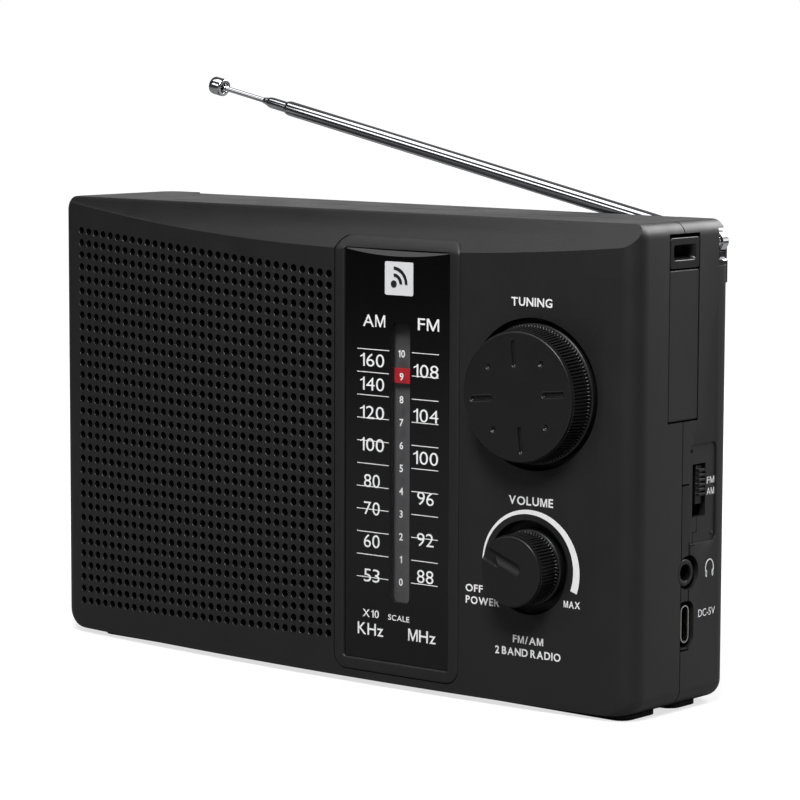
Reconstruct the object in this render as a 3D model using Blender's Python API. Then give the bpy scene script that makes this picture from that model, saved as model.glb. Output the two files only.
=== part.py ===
"""Tabletop two-band radio as separate pieces.

Lengths are in millimetres and become metres when a mesh is finished. X runs to the right, Y to the back and
Z up. Design coordinates put y = 0 at the front corners of the side walls and z = 0 on the table.
"""
import math

import bmesh
import bpy
from mathutils import Matrix, Vector

# ---------------------------------------------------------------- driving dimensions
MM = 0.001
GAP = 0.3                      # clearance between neighbouring pieces

WIDTH = 184.0
TOP_Z = 113.2
FLOOR_Z = 1.3                  # underside of the cabinet, above its skids
SIDE_DEPTH = 37.0              # front corner to flat back
BOW = 4.5                      # how far the middle of the front stands forward
WALL = 2.2
SEAM_Y = 17.9                  # rear edge of the front shell

FRONT_CORNER = 5.0             # plan radius, front
BACK_CORNER = 4.0              # plan radius, back
TOP_CORNER = 3.5               # radius seen from the front, upper corners
LOW_CORNER = 4.5               # radius seen from the front, lower corners

BROW_LEAN = 0.797              # how far the brow goes back for each unit of height
BROW_SKEW = 0.0164             # and for each unit to the right
BROW_EDGE = (0.0, 2.0, 112.8)  # a point on the brow's upper edge

DIAL = (8.9, 40.7, 6.3, 104.8)         # lens pocket: left, right, bottom, top
DIAL_POCKET = 2.2
DIAL_LEDGE = 1.8
LENS_SINK = 0.4
STRIP = (23.0, 28.8, 20.9, 87.5)       # pointer slot: left, right, bottom, top
SCALE_LOW = 26.1                       # height of scale mark 0
SCALE_HIGH = 80.8                      # height of scale mark 10
POINTER_Z = 75.0                       # pointer at rest
POINTER_X = 26.2
POINTER_SIZE = (5.0, 3.4)

TUNING = (64.3, 73.5)
TUNING_WELL = 17.6
TUNING_FACE = 14.9
TUNING_BASE = 16.3
TUNING_PROUD = 6.4
VOLUME = (63.4, 33.4)
VOLUME_WELL = 11.0
VOLUME_FACE = 8.1
VOLUME_BASE = 8.8
VOLUME_PROUD = 7.3
WELL_DEPTH = 3.2
SHAFT_R = 3.0

CORD_Y = 8.0                   # plane of the dial cord
CORD_R = 0.4
SPOOL_PITCH = 3.0              # radius to the cord's centre on the tuning shaft
PULLEY_PITCH = 3.4
CORD_RUN_X = 20.5              # the straight run that carries the pointer
UPPER_PULLEY_Z = 96.0
LOWER_PULLEY_Z = 12.0
DRUM = (43.0, 54.0)
DRUM_PITCH = 18.14             # half a turn moves the pointer 57 mm

GRILLE = (-84.0, 4.0, 8.5, 102.0)      # outer hole centres: left, right, bottom, top
GRILLE_COUNT = 8
GRILLE_HOLE = 3.5
GRILLE_FALL = 6.0              # how far the top row drops from left to right

SPEAKER = (-40.0, 60.0)
SPEAKER_R = 38.5
SPEAKER_Y = 1.5

BAY = (-87.3, 20.6, 5.0, 35.0)         # battery bay: left, right, bottom, top
BAY_Y = 20.4
CELL_R = 7.1
CELL_LENGTH = 49.0

SIDE_CHANNEL = (12.0, 23.9, 67.5, 110.6)   # strap channel: front, back, bottom, top
SWITCH_DISH = (20.9, 31.6, 38.9, 62.0)     # front, back, bottom, top
SWITCH_SLOT = (23.8, 27.8, 45.0, 57.3)
JACK = (20.3, 32.5)
USB = (20.2, 20.55)
USB_SIZE = (3.2, 8.94)

ANTENNA_PIVOT = (88.0, 36.2, 107.8)
ANTENNA_ANGLE = math.radians(11.9)     # above level, pointing left
OUTER_TUBE = (1.9, 1.62)               # outer and inner radius
SECOND_TUBE = (1.42, 1.18)
THIRD_TUBE = (0.98, 0.84)
ROD_R = 0.66
OUTER_END = 136.8                      # distances from the pivot
SECOND_END = 143.4
THIRD_END = 145.2
CAP_START = 159.7
CAP_LENGTH = 4.0
CAP_R = 2.3
STEP_Z = 103.6                         # floor of the antenna's shelf
STEP_Y = 33.2
NOTCH_Z = 102.5
NOTCH_Y = 31.4
ROOF_Z = 111.2
ROOF_X = 79.0

SCREWS = ((-77.7, 95.3), (80.5, 92.0), (-77.7, 41.9), (48.0, 8.6), (83.2, 8.6))

SEGMENTS = 32


def front_y(x):
    """The bowed front: a parabola through the two side corners."""
    return -BOW * (1.0 - (2.0 * x / WIDTH) ** 2)


def knob_lean(x):
    """Angle by which the front's outward normal turns to the right at x."""
    return math.atan(8.0 * BOW * x / WIDTH ** 2)


def outward(x):
    angle = knob_lean(x)
    return Vector((math.sin(angle), -math.cos(angle), 0.0))


def on_front(point, height=0.0):
    """The point of the front at (x, z), moved outward along the normal."""
    x, z = point
    return Vector((x, front_y(x), z)) + outward(x) * height


FRONT_REACH = on_front(VOLUME, VOLUME_PROUD).y - VOLUME_FACE * math.sin(knob_lean(VOLUME[0]))
BACK_REACH = ANTENNA_PIVOT[1] + 2.9
CENTRE = Vector((0.0, (FRONT_REACH + BACK_REACH) / 2.0, 0.0))

# ---------------------------------------------------------------- finishing and joining


def paint(name, colour, roughness, metallic=0.0):
    material = bpy.data.materials.new(name)
    material.use_nodes = True
    shader = material.node_tree.nodes["Principled BSDF"]
    shader.inputs["Base Color"].default_value = (*colour, 1.0)
    shader.inputs["Roughness"].default_value = roughness
    shader.inputs["Metallic"].default_value = metallic
    material.diffuse_color = (*colour, 1.0)
    return material


def finish(name, bm, material, origin=(0.0, 0.0, 0.0), sharp=35.0):
    """Turn a bmesh in design millimetres into an object whose origin is the given design point."""
    shift = Vector(origin)
    bmesh.ops.recalc_face_normals(bm, faces=bm.faces)
    bmesh.ops.translate(bm, verts=bm.verts, vec=-shift)
    bmesh.ops.scale(bm, verts=bm.verts, vec=(MM, MM, MM))
    mesh = bpy.data.meshes.new(name)
    bm.to_mesh(mesh)
    bm.free()
    mesh.materials.append(material)
    mesh.shade_smooth()
    mesh.set_sharp_from_angle(angle=math.radians(sharp))
    made = bpy.data.objects.new(name, mesh)
    made.location = (shift - CENTRE) * MM if origin != (0.0, 0.0, 0.0) else -CENTRE * MM
    bpy.context.scene.collection.objects.link(made)
    return made


def merged(*solids):
    """One bmesh holding several closed solids."""
    whole = bmesh.new()
    for solid in solids:
        mesh = bpy.data.meshes.new("part_of_tool")
        solid.to_mesh(mesh)
        solid.free()
        whole.from_mesh(mesh)
        bpy.data.meshes.remove(mesh)
    return whole


def shaped(target, operation, *solids):
    """Boolean the solids, which stand clear of each other, with the target."""
    tool = finish(f"tool_{target.name}_{len(target.modifiers)}", merged(*solids), TOOL)
    tool.hide_render = True
    tool.display_type = "WIRE"
    change = target.modifiers.new(operation.lower(), "BOOLEAN")
    change.operation = operation
    change.solver = "EXACT"
    change.object = tool
    return target


def cut(target, *solids):
    return shaped(target, "DIFFERENCE", *solids)


def add(target, *solids):
    return shaped(target, "UNION", *solids)


# ---------------------------------------------------------------- basic solids


def arc(centre, radius, start, stop, count):
    """Points of an arc in degrees, both ends included."""
    points = []
    for index in range(count + 1):
        angle = math.radians(start + (stop - start) * index / count)
        points.append((centre[0] + radius * math.cos(angle), centre[1] + radius * math.sin(angle)))
    return points


def rounded(left, right, low, high, radius, count=4):
    """Rounded rectangle, anticlockwise."""
    outline = []
    corners = ((right - radius, low + radius, -90), (right - radius, high - radius, 0),
               (left + radius, high - radius, 90), (left + radius, low + radius, 180))
    for x, y, start in corners:
        outline += arc((x, y), radius, start, start + 90, count)
    return outline


def place(axis, flat, along):
    """Map a 2-D point to 3-D: the axis named is the one extruded along."""
    first, second = flat
    if axis == "X":
        return along, first, second
    if axis == "Y":
        return first, along, second
    return first, second, along


def loft(rings):
    """Closed solid through rings with the same number of points, capped at both ends."""
    bm = bmesh.new()
    rows = [[bm.verts.new(point) for point in ring] for ring in rings]
    count = len(rows[0])
    for lower, upper in zip(rows, rows[1:]):
        for index in range(count):
            after = (index + 1) % count
            bm.faces.new((lower[index], lower[after], upper[after], upper[index]))
    bm.faces.new(rows[0])
    bm.faces.new(rows[-1])
    bmesh.ops.recalc_face_normals(bm, faces=bm.faces)
    return bm


def prism(axis, outline, start, stop):
    """Straight solid: the outline carried along an axis from start to stop."""
    return loft([[place(axis, point, level) for point in outline] for level in (start, stop)])


def box(left, right, front, back, low, high):
    outline = ((left, front), (right, front), (right, back), (left, back))
    return prism("Z", outline, low, high)


def turned(profile, base, direction, segments=SEGMENTS, closed=False):
    """Revolve (radius, height) points about a line; closed profiles make rings, open ones meet the axis."""
    bm = bmesh.new()
    line = [bm.verts.new((radius, 0.0, height)) for radius, height in profile]
    edges = [bm.edges.new(pair) for pair in zip(line, line[1:])]
    if closed:
        edges.append(bm.edges.new((line[-1], line[0])))
    bmesh.ops.spin(bm, geom=line + edges, cent=(0, 0, 0), axis=(0, 0, 1), angle=math.tau,
                   steps=segments, use_duplicate=False)
    bmesh.ops.remove_doubles(bm, verts=bm.verts, dist=1e-3)
    turn = Vector((0, 0, 1)).rotation_difference(Vector(direction)).to_matrix().to_4x4()
    bm.transform(Matrix.Translation(Vector(base)) @ turn)
    bmesh.ops.recalc_face_normals(bm, faces=bm.faces)
    return bm


def rod(base, direction, radius, length, segments=SEGMENTS, chamfer=0.0):
    profile = [(0.0, 0.0), (radius - chamfer, 0.0)]
    if chamfer:
        profile.append((radius, chamfer))
        profile.append((radius, length - chamfer))
    profile += [(radius - chamfer, length), (0.0, length)]
    return turned(profile, base, direction, segments)


def pipe(base, direction, outer, inner, start, stop, segments=16):
    profile = [(inner, start), (outer, start), (outer, stop), (inner, stop)]
    return turned(profile, base, direction, segments, closed=True)


def tube_along(points, radius, sides, cyclic=False):
    """Round tube through a list of points, each ring square to the path."""
    count = len(points)
    path = [Vector(point) for point in points]
    rings = []
    side = None
    for index, point in enumerate(path):
        before = path[index - 1] if index or cyclic else point
        after = path[(index + 1) % count] if index < count - 1 or cyclic else point
        heading = (after - before).normalized()
        guide = side if side else heading.orthogonal()
        side = (guide - heading * guide.dot(heading)).normalized()
        other = heading.cross(side)
        ring = []
        for step in range(sides):
            angle = math.tau * step / sides
            ring.append(point + side * (radius * math.cos(angle)) + other * (radius * math.sin(angle)))
        rings.append(ring)
    if not cyclic:
        return loft(rings)
    bm = bmesh.new()
    rows = [[bm.verts.new(point) for point in ring] for ring in rings]
    for index in range(count):
        lower, upper = rows[index], rows[(index + 1) % count]
        for step in range(sides):
            after = (step + 1) % sides
            bm.faces.new((lower[step], lower[after], upper[after], upper[step]))
    return bm


# ---------------------------------------------------------------- cabinet shells


def corner_levels(low, high, low_radius, high_radius, steps=4):
    """Heights of the loft's rings and how far the side walls draw in at each."""
    levels = []
    for index in range(steps + 1):
        angle = math.radians(90.0 * index / steps)
        levels.append((low + low_radius * (1 - math.cos(angle)), low_radius * (1 - math.sin(angle))))
    for index in range(steps + 1):
        angle = math.radians(90.0 * index / steps)
        levels.append((high - high_radius * (1 - math.sin(angle)), high_radius * (1 - math.cos(angle))))
    return levels


def front_plan(inset, draw, back):
    """Plan of the bowed front: corner arcs, the bow, and straight sides to the seam."""
    half = WIDTH / 2.0 - inset - draw
    radius = max(FRONT_CORNER - inset, 0.5)
    turn = math.degrees(math.atan(4.0 * BOW / WIDTH * (1 - 2 * FRONT_CORNER / WIDTH)))
    reach = half - radius + radius * math.sin(math.radians(turn))
    level = front_y(reach) + inset + radius * math.cos(math.radians(turn))
    plan = arc((-half + radius, level), radius, 180, 270 - turn, 5)
    for index in range(1, 12):
        x = -reach + 2.0 * reach * index / 12
        plan.append((x, front_y(x) + inset))
    plan += arc((half - radius, level), radius, -90 + turn, 0, 5)
    plan += [(half, back), (-half, back)]
    return plan


def brow_plane(sink):
    """Point and outward normal of the brow, moved inward by sink."""
    normal = Vector((BROW_SKEW, -1.0, BROW_LEAN)).normalized()
    return Vector(BROW_EDGE) - normal * sink, normal


def front_solid(inset, back):
    """Solid of the front half: the bowed body with its brow sliced off."""
    levels = corner_levels(FLOOR_Z + inset, TOP_Z - inset, LOW_CORNER - inset, TOP_CORNER - inset)
    rings = [[(x, y, z) for x, y in front_plan(inset, draw, back)] for z, draw in levels]
    bm = loft(rings)
    point, normal = brow_plane(inset)
    found = bmesh.ops.bisect_plane(bm, geom=bm.verts[:] + bm.edges[:] + bm.faces[:], plane_co=point,
                                   plane_no=normal, clear_outer=True)
    rim = [item for item in found["geom_cut"] if isinstance(item, bmesh.types.BMEdge)]
    bmesh.ops.contextual_create(bm, geom=rim)
    bmesh.ops.recalc_face_normals(bm, faces=bm.faces)
    return bm


def back_solid(inset, front):
    """Solid of the rear half with rounded rear corners."""
    levels = corner_levels(FLOOR_Z + inset, TOP_Z - inset, LOW_CORNER - inset, TOP_CORNER - inset)
    radius = BACK_CORNER - inset
    rings = []
    for z, draw in levels:
        half = WIDTH / 2.0 - inset - draw
        back = SIDE_DEPTH - inset
        plan = [(-half, front), (half, front)]
        plan += arc((half - radius, back - radius), radius, 0, 90, 5)
        plan += arc((-half + radius, back - radius), radius, 90, 180, 5)
        rings.append([(x, y, z) for x, y in plan])
    return loft(rings)


def bowed_slab(left, right, low, high, front_sink, back_sink, steps=6, brow=None):
    """Plate that follows the bowed front between two depths below it."""
    outline = []
    for index in range(steps + 1):
        x = left + (right - left) * index / steps
        outline.append((x, front_y(x) + front_sink))
    for index in range(steps + 1):
        x = right + (left - right) * index / steps
        outline.append((x, front_y(x) + back_sink))
    bm = prism("Z", outline, low, high)
    if brow is not None:
        point, normal = brow_plane(brow)
        found = bmesh.ops.bisect_plane(bm, geom=bm.verts[:] + bm.edges[:] + bm.faces[:], plane_co=point,
                                       plane_no=normal, clear_outer=True)
        rim = [item for item in found["geom_cut"] if isinstance(item, bmesh.types.BMEdge)]
        if rim:
            bmesh.ops.contextual_create(bm, geom=rim)
            bmesh.ops.recalc_face_normals(bm, faces=bm.faces)
    return bm


def grille_holes():
    """Square array of round holes whose rows fan slightly."""
    left, right, low, high = GRILLE
    last = GRILLE_COUNT - 1
    holes = []
    for column in range(GRILLE_COUNT):
        across = column / last
        x = left + (right - left) * across
        for row in range(GRILLE_COUNT):
            up = row / last
            z = low + (high - low) * up - GRILLE_FALL * across * up
            holes.append(rod((x, front_y(x) - 3.0, z), (0, 1, 0), GRILLE_HOLE, 8.0, 8))
    return holes


def front_cabinet():
    shell = finish("front_cabinet", front_solid(0.0, SEAM_Y), BLACK_ABS)
    cut(shell, front_solid(WALL, SEAM_Y + 5.0))
    left, right, low, high = DIAL
    add(shell, bowed_slab(left - 3, right + 3, low - 2.4, high + 2.4, 0.8, DIAL_POCKET + DIAL_LEDGE, brow=0.8))
    add(shell, *[rod((x, front_y(x) + 1.0, z), (0, 1, 0), 3.0, SEAM_Y - 1.3 - front_y(x), 12)
                 for x, z in SCREWS])
    cut(shell, *grille_holes())
    side = WIDTH / 2
    cut(shell, box(side - 7.0, side + 2, *SIDE_CHANNEL), rod((side - 4, *JACK), (1, 0, 0), 3.55, 8.0, 24))
    cut(shell, bowed_slab(left, right, low, high, -3.0, DIAL_POCKET))
    cut(shell, bowed_slab(left + 2, right - 2, low + 2, high - 2, DIAL_POCKET - 1, DIAL_POCKET + DIAL_LEDGE + 3),
        *[rod((x, SEAM_Y - 8.0, z), (0, 1, 0), 1.6, 10.0, 8) for x, z in SCREWS])
    cups = []
    wells = []
    for spot, radius in ((TUNING, TUNING_WELL), (VOLUME, VOLUME_WELL)):
        way = -outward(spot[0])
        cups.append(rod(on_front(spot, -0.8), way, radius + 2.0, WELL_DEPTH + 1.2, 32))
        floor = 4.0 + WELL_DEPTH
        bore = SHAFT_R + 0.35
        stepped = [(0, 0), (radius, 0), (radius, floor), (bore, floor), (bore, floor + 4.0), (0, floor + 4.0)]
        wells.append(turned(stepped, on_front(spot, 4.0), way, 32))
    add(shell, *cups)
    return cut(shell, *wells)


def rear_cabinet():
    shell = finish("rear_cabinet", back_solid(0.0, SEAM_Y + GAP), BLACK_ABS)
    cut(shell, back_solid(WALL, SEAM_Y - 5.0))
    left, right, low, high = BAY
    add(shell, box(left - 1.6, right + 1.6, BAY_Y - 1.6, SIDE_DEPTH - 1.0, low - 1.8, high + 1.8))
    add(shell, box(-80, ROOF_X, STEP_Y - 2.0, SIDE_DEPTH - 1.0, STEP_Z - 2.0, TOP_Z - 1.0))
    add(shell, box(ROOF_X - 1.0, WIDTH / 2 - 1.0, NOTCH_Y - 2.0, SIDE_DEPTH - 1.5, NOTCH_Z - 2.0, TOP_Z - 1.2))
    add(shell, *[rod((x, SEAM_Y + GAP, z), (0, 1, 0), 3.4, SIDE_DEPTH - 1.2 - SEAM_Y, 12) for x, z in SCREWS])
    cut(shell, box(left, right, BAY_Y, SIDE_DEPTH + 3, low, high))
    cut(shell, box(left - 1.2, right + 1.2, SIDE_DEPTH - 1.7, SIDE_DEPTH + 3, low - 1.2, high + 1.2))
    x, y, z = ANTENNA_PIVOT
    cut(shell, box(-78, ROOF_X, STEP_Y, SIDE_DEPTH + 3, STEP_Z, TOP_Z + 3))
    cut(shell, box(ROOF_X - 0.5, WIDTH / 2 + 3, NOTCH_Y, SIDE_DEPTH + 3, NOTCH_Z, ROOF_Z))
    cut(shell, box(ROOF_X - 0.5, WIDTH / 2 + 3, y - OUTER_TUBE[0] - 0.5, SIDE_DEPTH + 3, ROOF_Z - 0.5, TOP_Z + 3))
    cut(shell, rod((x, y, NOTCH_Z - 6), (0, 0, 1), 2.95, 8.0, 16))
    front, back, low, high = SIDE_CHANNEL
    side = WIDTH / 2
    channel = box(side - 7.0, side + 2, front, back, low, high)
    front, back, low, high = SWITCH_DISH
    dish = prism("X", rounded(front, back, low, high, 1.6), side - 1.0, side + 3)
    jack_well = rod((side - 4, JACK[0] + 0.5, JACK[1]), (1, 0, 0), 4.1, 8.0, 24)
    wide, tall = USB_SIZE
    power_well = prism("X", rounded(USB[0] - wide, USB[0] + wide / 2 + 1.4, USB[1] - tall / 2 - 0.9,
                                    USB[1] + tall / 2 + 0.9, 2.4), side - 4, side + 3)
    cut(shell, channel, dish, jack_well, power_well)
    front, back, low, high = SWITCH_SLOT
    cut(shell, box(side - 4, side + 1, front, back, low, high), box(side - 5, side + 4, 10, 21.3, 14.3, 53.1))
    stepped = [(0, 0), (1.7, 0), (1.7, 14.5), (3.0, 14.5), (3.0, 22), (0, 22)]
    cut(shell, *[turned(stepped, (x, SEAM_Y - 1.0, z), (0, 1, 0), 12) for x, z in SCREWS])
    return shell


def battery_door():
    """Plain cover in the rebate of the battery bay."""
    left, right, low, high = BAY
    edge = 0.9
    door = prism("Y", rounded(left - edge, right + edge, low - edge, high + edge, 1.5, 3),
                 SIDE_DEPTH - 1.4, SIDE_DEPTH)
    made = finish("battery_door", door, BLACK_ABS, (left, SIDE_DEPTH, (low + high) / 2))
    grip = [box(left + 3.0, left + 4.2, SIDE_DEPTH - 0.6, SIDE_DEPTH + 1, low + 4 + 3 * index, low + 5.4 + 3 * index)
            for index in range(7)]
    return cut(made, *grip)


def skid(name, front, back, left, right):
    outline = rounded(left, right, front, back, 3.0, 4)
    return finish(name, prism("Z", outline, 0.0, FLOOR_Z - GAP), SKID)


# ---------------------------------------------------------------- dial


def dial_lens():
    left, right, low, high = DIAL
    clear = 0.25
    slab = bowed_slab(left + clear, right - clear, low + clear, high - clear,
                      LENS_SINK, DIAL_POCKET - 0.3, brow=LENS_SINK)
    lens = finish("dial_lens", slab, LENS)
    return cut(lens, bowed_slab(20.9, 30.0, 93.8, 102.3, -2.0, LENS_SINK + 0.7, 2))


def dial_badge():
    slab = bowed_slab(21.2, 29.7, 94.1, 102.0, LENS_SINK - 0.1, LENS_SINK + 0.4, 2)
    return finish("dial_badge", slab, SILVER)


def dial_plate():
    left, right, low, high = DIAL
    front = 0.9
    plate = finish("dial_plate", box(left - 2, right + 2, front, front + 1.2, low - 1.0, high - 2.0), DARK)
    slot_left, slot_right, slot_low, slot_high = STRIP
    ears = [box(POINTER_X - 2.2, POINTER_X + 2.2, front + 1.0, 5.4, level, level + 2.0)
            for level in (slot_low - 3.0, slot_high + 1.6)]
    pins = [rod((CORD_RUN_X + PULLEY_PITCH, front + 1.0, level), (0, 1, 0), 1.0, CORD_Y + 1.8 - front - 1.0, 12)
            for level in (LOWER_PULLEY_Z, UPPER_PULLEY_Z)]
    add(plate, *ears, *pins)
    return cut(plate, box(slot_left, slot_right, -2, 3, slot_low, slot_high),
               rod((POINTER_X, 3.6, slot_low - 6), (0, 0, 1), 1.1, 90.0, 12))


def pointer_rail():
    base = (POINTER_X, 3.6, STRIP[2] - 3.6)
    return finish("pointer_rail", rod(base, (0, 0, 1), 0.8, STRIP[3] - STRIP[2] + 7.6, 12), STEEL)


def dial_pointer():
    """Red flag behind the lens, on a carriage that slides on the rail and meets the cord."""
    wide, tall = POINTER_SIZE
    front = front_y(POINTER_X) + DIAL_POCKET + 0.3
    flag = box(POINTER_X - wide / 2, POINTER_X + wide / 2, front, front + 1.0, POINTER_Z - tall / 2,
               POINTER_Z + tall / 2)
    made = finish("dial_pointer", flag, RED, (POINTER_X, 3.6, POINTER_Z))
    add(made, box(POINTER_X - 1.0, POINTER_X + 1.0, front + 0.5, 3.0, POINTER_Z - 1.2, POINTER_Z + 1.2))
    add(made, box(POINTER_X - 2.2, POINTER_X + 2.2, 1.8, 5.4, POINTER_Z - 3.5, POINTER_Z + 3.5))
    add(made, box(CORD_RUN_X - 0.9, POINTER_X, 4.2, 5.2, POINTER_Z - 1.5, POINTER_Z + 1.5))
    add(made, box(CORD_RUN_X - 1.7, CORD_RUN_X - 0.7, 4.0, CORD_Y + 0.6, POINTER_Z - 1.7, POINTER_Z + 1.7))
    return cut(made, rod((POINTER_X, 3.6, POINTER_Z - 6), (0, 0, 1), 1.1, 12.0, 12))


def tangent_run(first, first_radius, second, second_radius):
    """Angle of the outward side on which a belt, driven anticlockwise, leaves one circle for the next."""
    across = Vector(second) - Vector(first)
    heading = math.atan2(across.y, across.x)
    lean = math.acos((first_radius - second_radius) / across.length)
    return heading - lean


def spool_centre():
    """Where the tuning shaft's tilted axis crosses the cord's plane."""
    spot = on_front(TUNING)
    way = outward(TUNING[0])
    return spot + way * ((CORD_Y - spot.y) / way.y)


def dial_cord():
    """Closed loop round the lower pulley, the drum, the spool and the upper pulley."""
    spool = spool_centre()
    pulley_x = CORD_RUN_X + PULLEY_PITCH
    stops = (((pulley_x, LOWER_PULLEY_Z), PULLEY_PITCH), (DRUM, DRUM_PITCH), ((spool.x, spool.z), SPOOL_PITCH),
             ((pulley_x, UPPER_PULLEY_Z), PULLEY_PITCH))
    leave = []
    for index, (centre, radius) in enumerate(stops):
        following, next_radius = stops[(index + 1) % len(stops)]
        leave.append(tangent_run(centre, radius, following, next_radius))
    points = []
    for index, (centre, radius) in enumerate(stops):
        start = leave[index - 1]
        stop = leave[index]
        while stop < start:
            stop += math.tau
        steps = max(3, round((stop - start) / 0.22))
        for step in range(steps + 1):
            angle = start + (stop - start) * step / steps
            points.append((centre[0] + radius * math.cos(angle), CORD_Y, centre[1] + radius * math.sin(angle)))
    return finish("dial_cord", tube_along(points, CORD_R, 6, cyclic=True), CORD)


def grooved(groove, rim, half_groove, half_width, bore=0.0):
    """Profile of a grooved wheel about its axis, centred on the groove."""
    side = [(rim, -half_width), (rim, -half_groove), (groove, -half_groove), (groove, half_groove),
            (rim, half_groove), (rim, half_width)]
    return [(bore, -half_width), *side, (bore, half_width)]


def pulley(name, z):
    centre = (CORD_RUN_X + PULLEY_PITCH, CORD_Y, z)
    profile = grooved(PULLEY_PITCH - CORD_R - GAP, PULLEY_PITCH + 0.7, 0.75, 1.25, 1.3)
    return finish(name, turned(profile, centre, (0, 1, 0), 20, closed=True), NYLON, centre)


def tuning_drum():
    """Large grooved wheel on the tuning capacitor's shaft."""
    centre = (*DRUM[:1], CORD_Y, DRUM[1])
    profile = grooved(DRUM_PITCH - CORD_R - GAP, DRUM_PITCH + 0.9, 0.75, 1.4)
    drum = finish("tuning_drum", turned(profile, centre, (0, 1, 0), 40), NYLON, centre)
    add(drum, rod((DRUM[0], CORD_Y, DRUM[1]), (0, 1, 0), 2.6, 10.5, 16))
    return cut(drum, box(DRUM[0] - 6.5, DRUM[0] + 6.5, CORD_Y - 3, CORD_Y + 3, DRUM[1] + 6.0, DRUM[1] + 11.5))


def cord_spring():
    """Tension spring lying in the drum's window."""
    turns, steps, radius, length = 5, 8, 1.6, 11.0
    points = []
    for index in range(turns * steps + 1):
        angle = math.tau * index / steps
        points.append((DRUM[0] - length / 2 + length * index / (turns * steps), CORD_Y + radius * math.cos(angle),
                       DRUM[1] + 8.8 + radius * math.sin(angle)))
    return finish("cord_spring", tube_along(points, 0.3, 5), STEEL)


# ---------------------------------------------------------------- knobs and controls


def knob(name, spot, face, base, proud, ribs, well):
    """Tapered knob with a ribbed side, a rounded face edge and a blind bore."""
    way = outward(spot[0])
    floor = on_front(spot, -well + 0.6)
    height = proud + well - 0.6
    steps = ribs
    levels = ((0.0, base), (height * 0.55, (base + face) / 2 + 0.3), (height - 0.7, face), (height, face - 0.7))
    rows = []
    for level, radius in levels:
        row = []
        for index in range(steps * 2):
            angle = math.pi * index / steps
            ribbed = radius - (0.35 if index % 2 and level < height - 0.1 else 0.0)
            row.append((ribbed * math.cos(angle), ribbed * math.sin(angle), level))
        rows.append(row)
    body = loft(rows)
    turn = Vector((0, 0, 1)).rotation_difference(way).to_matrix().to_4x4()
    body.transform(Matrix.Translation(floor) @ turn)
    made = finish(name, body, KNOB, on_front(spot))
    return cut(made, rod(floor - way * 2.0, way, SHAFT_R + GAP, 2.0 + height - 2.6, 16))


def tuning_knob():
    made = knob("tuning_knob", TUNING, TUNING_FACE, TUNING_BASE, TUNING_PROUD, 40, WELL_DEPTH)
    way = outward(TUNING[0])
    across = Vector((0, 0, 1)).cross(way)
    marks = []
    centre = on_front(TUNING, TUNING_PROUD)
    for quarter in range(4):
        angle = math.radians(90 * quarter + 6.0)
        spoke = across * math.cos(angle) + Vector((0, 0, 1)) * math.sin(angle)
        side = way.cross(spoke)
        rings = []
        for height in (-0.6, 1.0):
            corners = ((6.4, -0.7), (13.0, -0.7), (13.0, 0.7), (6.4, 0.7))
            rings.append([centre + spoke * along + side * wide + way * height for along, wide in corners])
        marks.append(loft(rings))
        angle += math.radians(45.0)
        spoke = across * math.cos(angle) + Vector((0, 0, 1)) * math.sin(angle)
        marks.append(rod(centre + spoke * 10.2 - way * 0.5, way, 0.7, 1.5, 8))
    return cut(made, *marks)


def volume_knob():
    made = knob("volume_knob", VOLUME, VOLUME_FACE, VOLUME_BASE, VOLUME_PROUD, 28, WELL_DEPTH)
    way = outward(VOLUME[0])
    across = Vector((0, 0, 1)).cross(way) * -1.0
    angle = math.radians(150.0)
    right = -across if across.x < 0 else across
    spoke = right * math.cos(angle) + Vector((0, 0, 1)) * math.sin(angle)
    side = way.cross(spoke)
    centre = on_front(VOLUME, VOLUME_PROUD)
    rings = []
    for height in (-0.7, 1.0):
        corners = ((-1.0, -1.4), (9.5, -1.4), (9.5, 1.4), (-1.0, 1.4))
        rings.append([centre + spoke * along + side * wide + way * height for along, wide in corners])
    return cut(made, loft(rings))


def tuning_shaft():
    """Shaft from the knob, with the cord's spool at its inner end."""
    way = -outward(TUNING[0])
    top = on_front(TUNING, 3.0)
    spool = (spool_centre() - top).length
    groove = SPOOL_PITCH - CORD_R - GAP
    profile = [(0.0, 0.0), (SHAFT_R, 0.0), (SHAFT_R, spool - 2.2), (SPOOL_PITCH + 0.7, spool - 1.9),
               (SPOOL_PITCH + 0.7, spool - 0.85), (groove, spool - 0.85), (groove, spool + 0.85),
               (SPOOL_PITCH + 0.7, spool + 0.85), (SPOOL_PITCH + 0.7, spool + 1.9), (0.0, spool + 1.9)]
    return finish("tuning_shaft", turned(profile, top, way, 20), STEEL, on_front(TUNING))


def volume_shaft():
    way = -outward(VOLUME[0])
    top = on_front(VOLUME, 3.4)
    return finish("volume_shaft", rod(top, way, SHAFT_R, 11.6, 20), STEEL, on_front(VOLUME))


def volume_pot():
    way = -outward(VOLUME[0])
    base = on_front(VOLUME, -WELL_DEPTH - 2.9)
    body = turned([(0.0, 3.6), (3.3, 3.6), (3.3, 0.0), (8.4, 0.0), (8.4, 4.9), (0.0, 4.9)], base, way, 24)
    return finish("volume_pot", body, STEEL)


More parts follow.
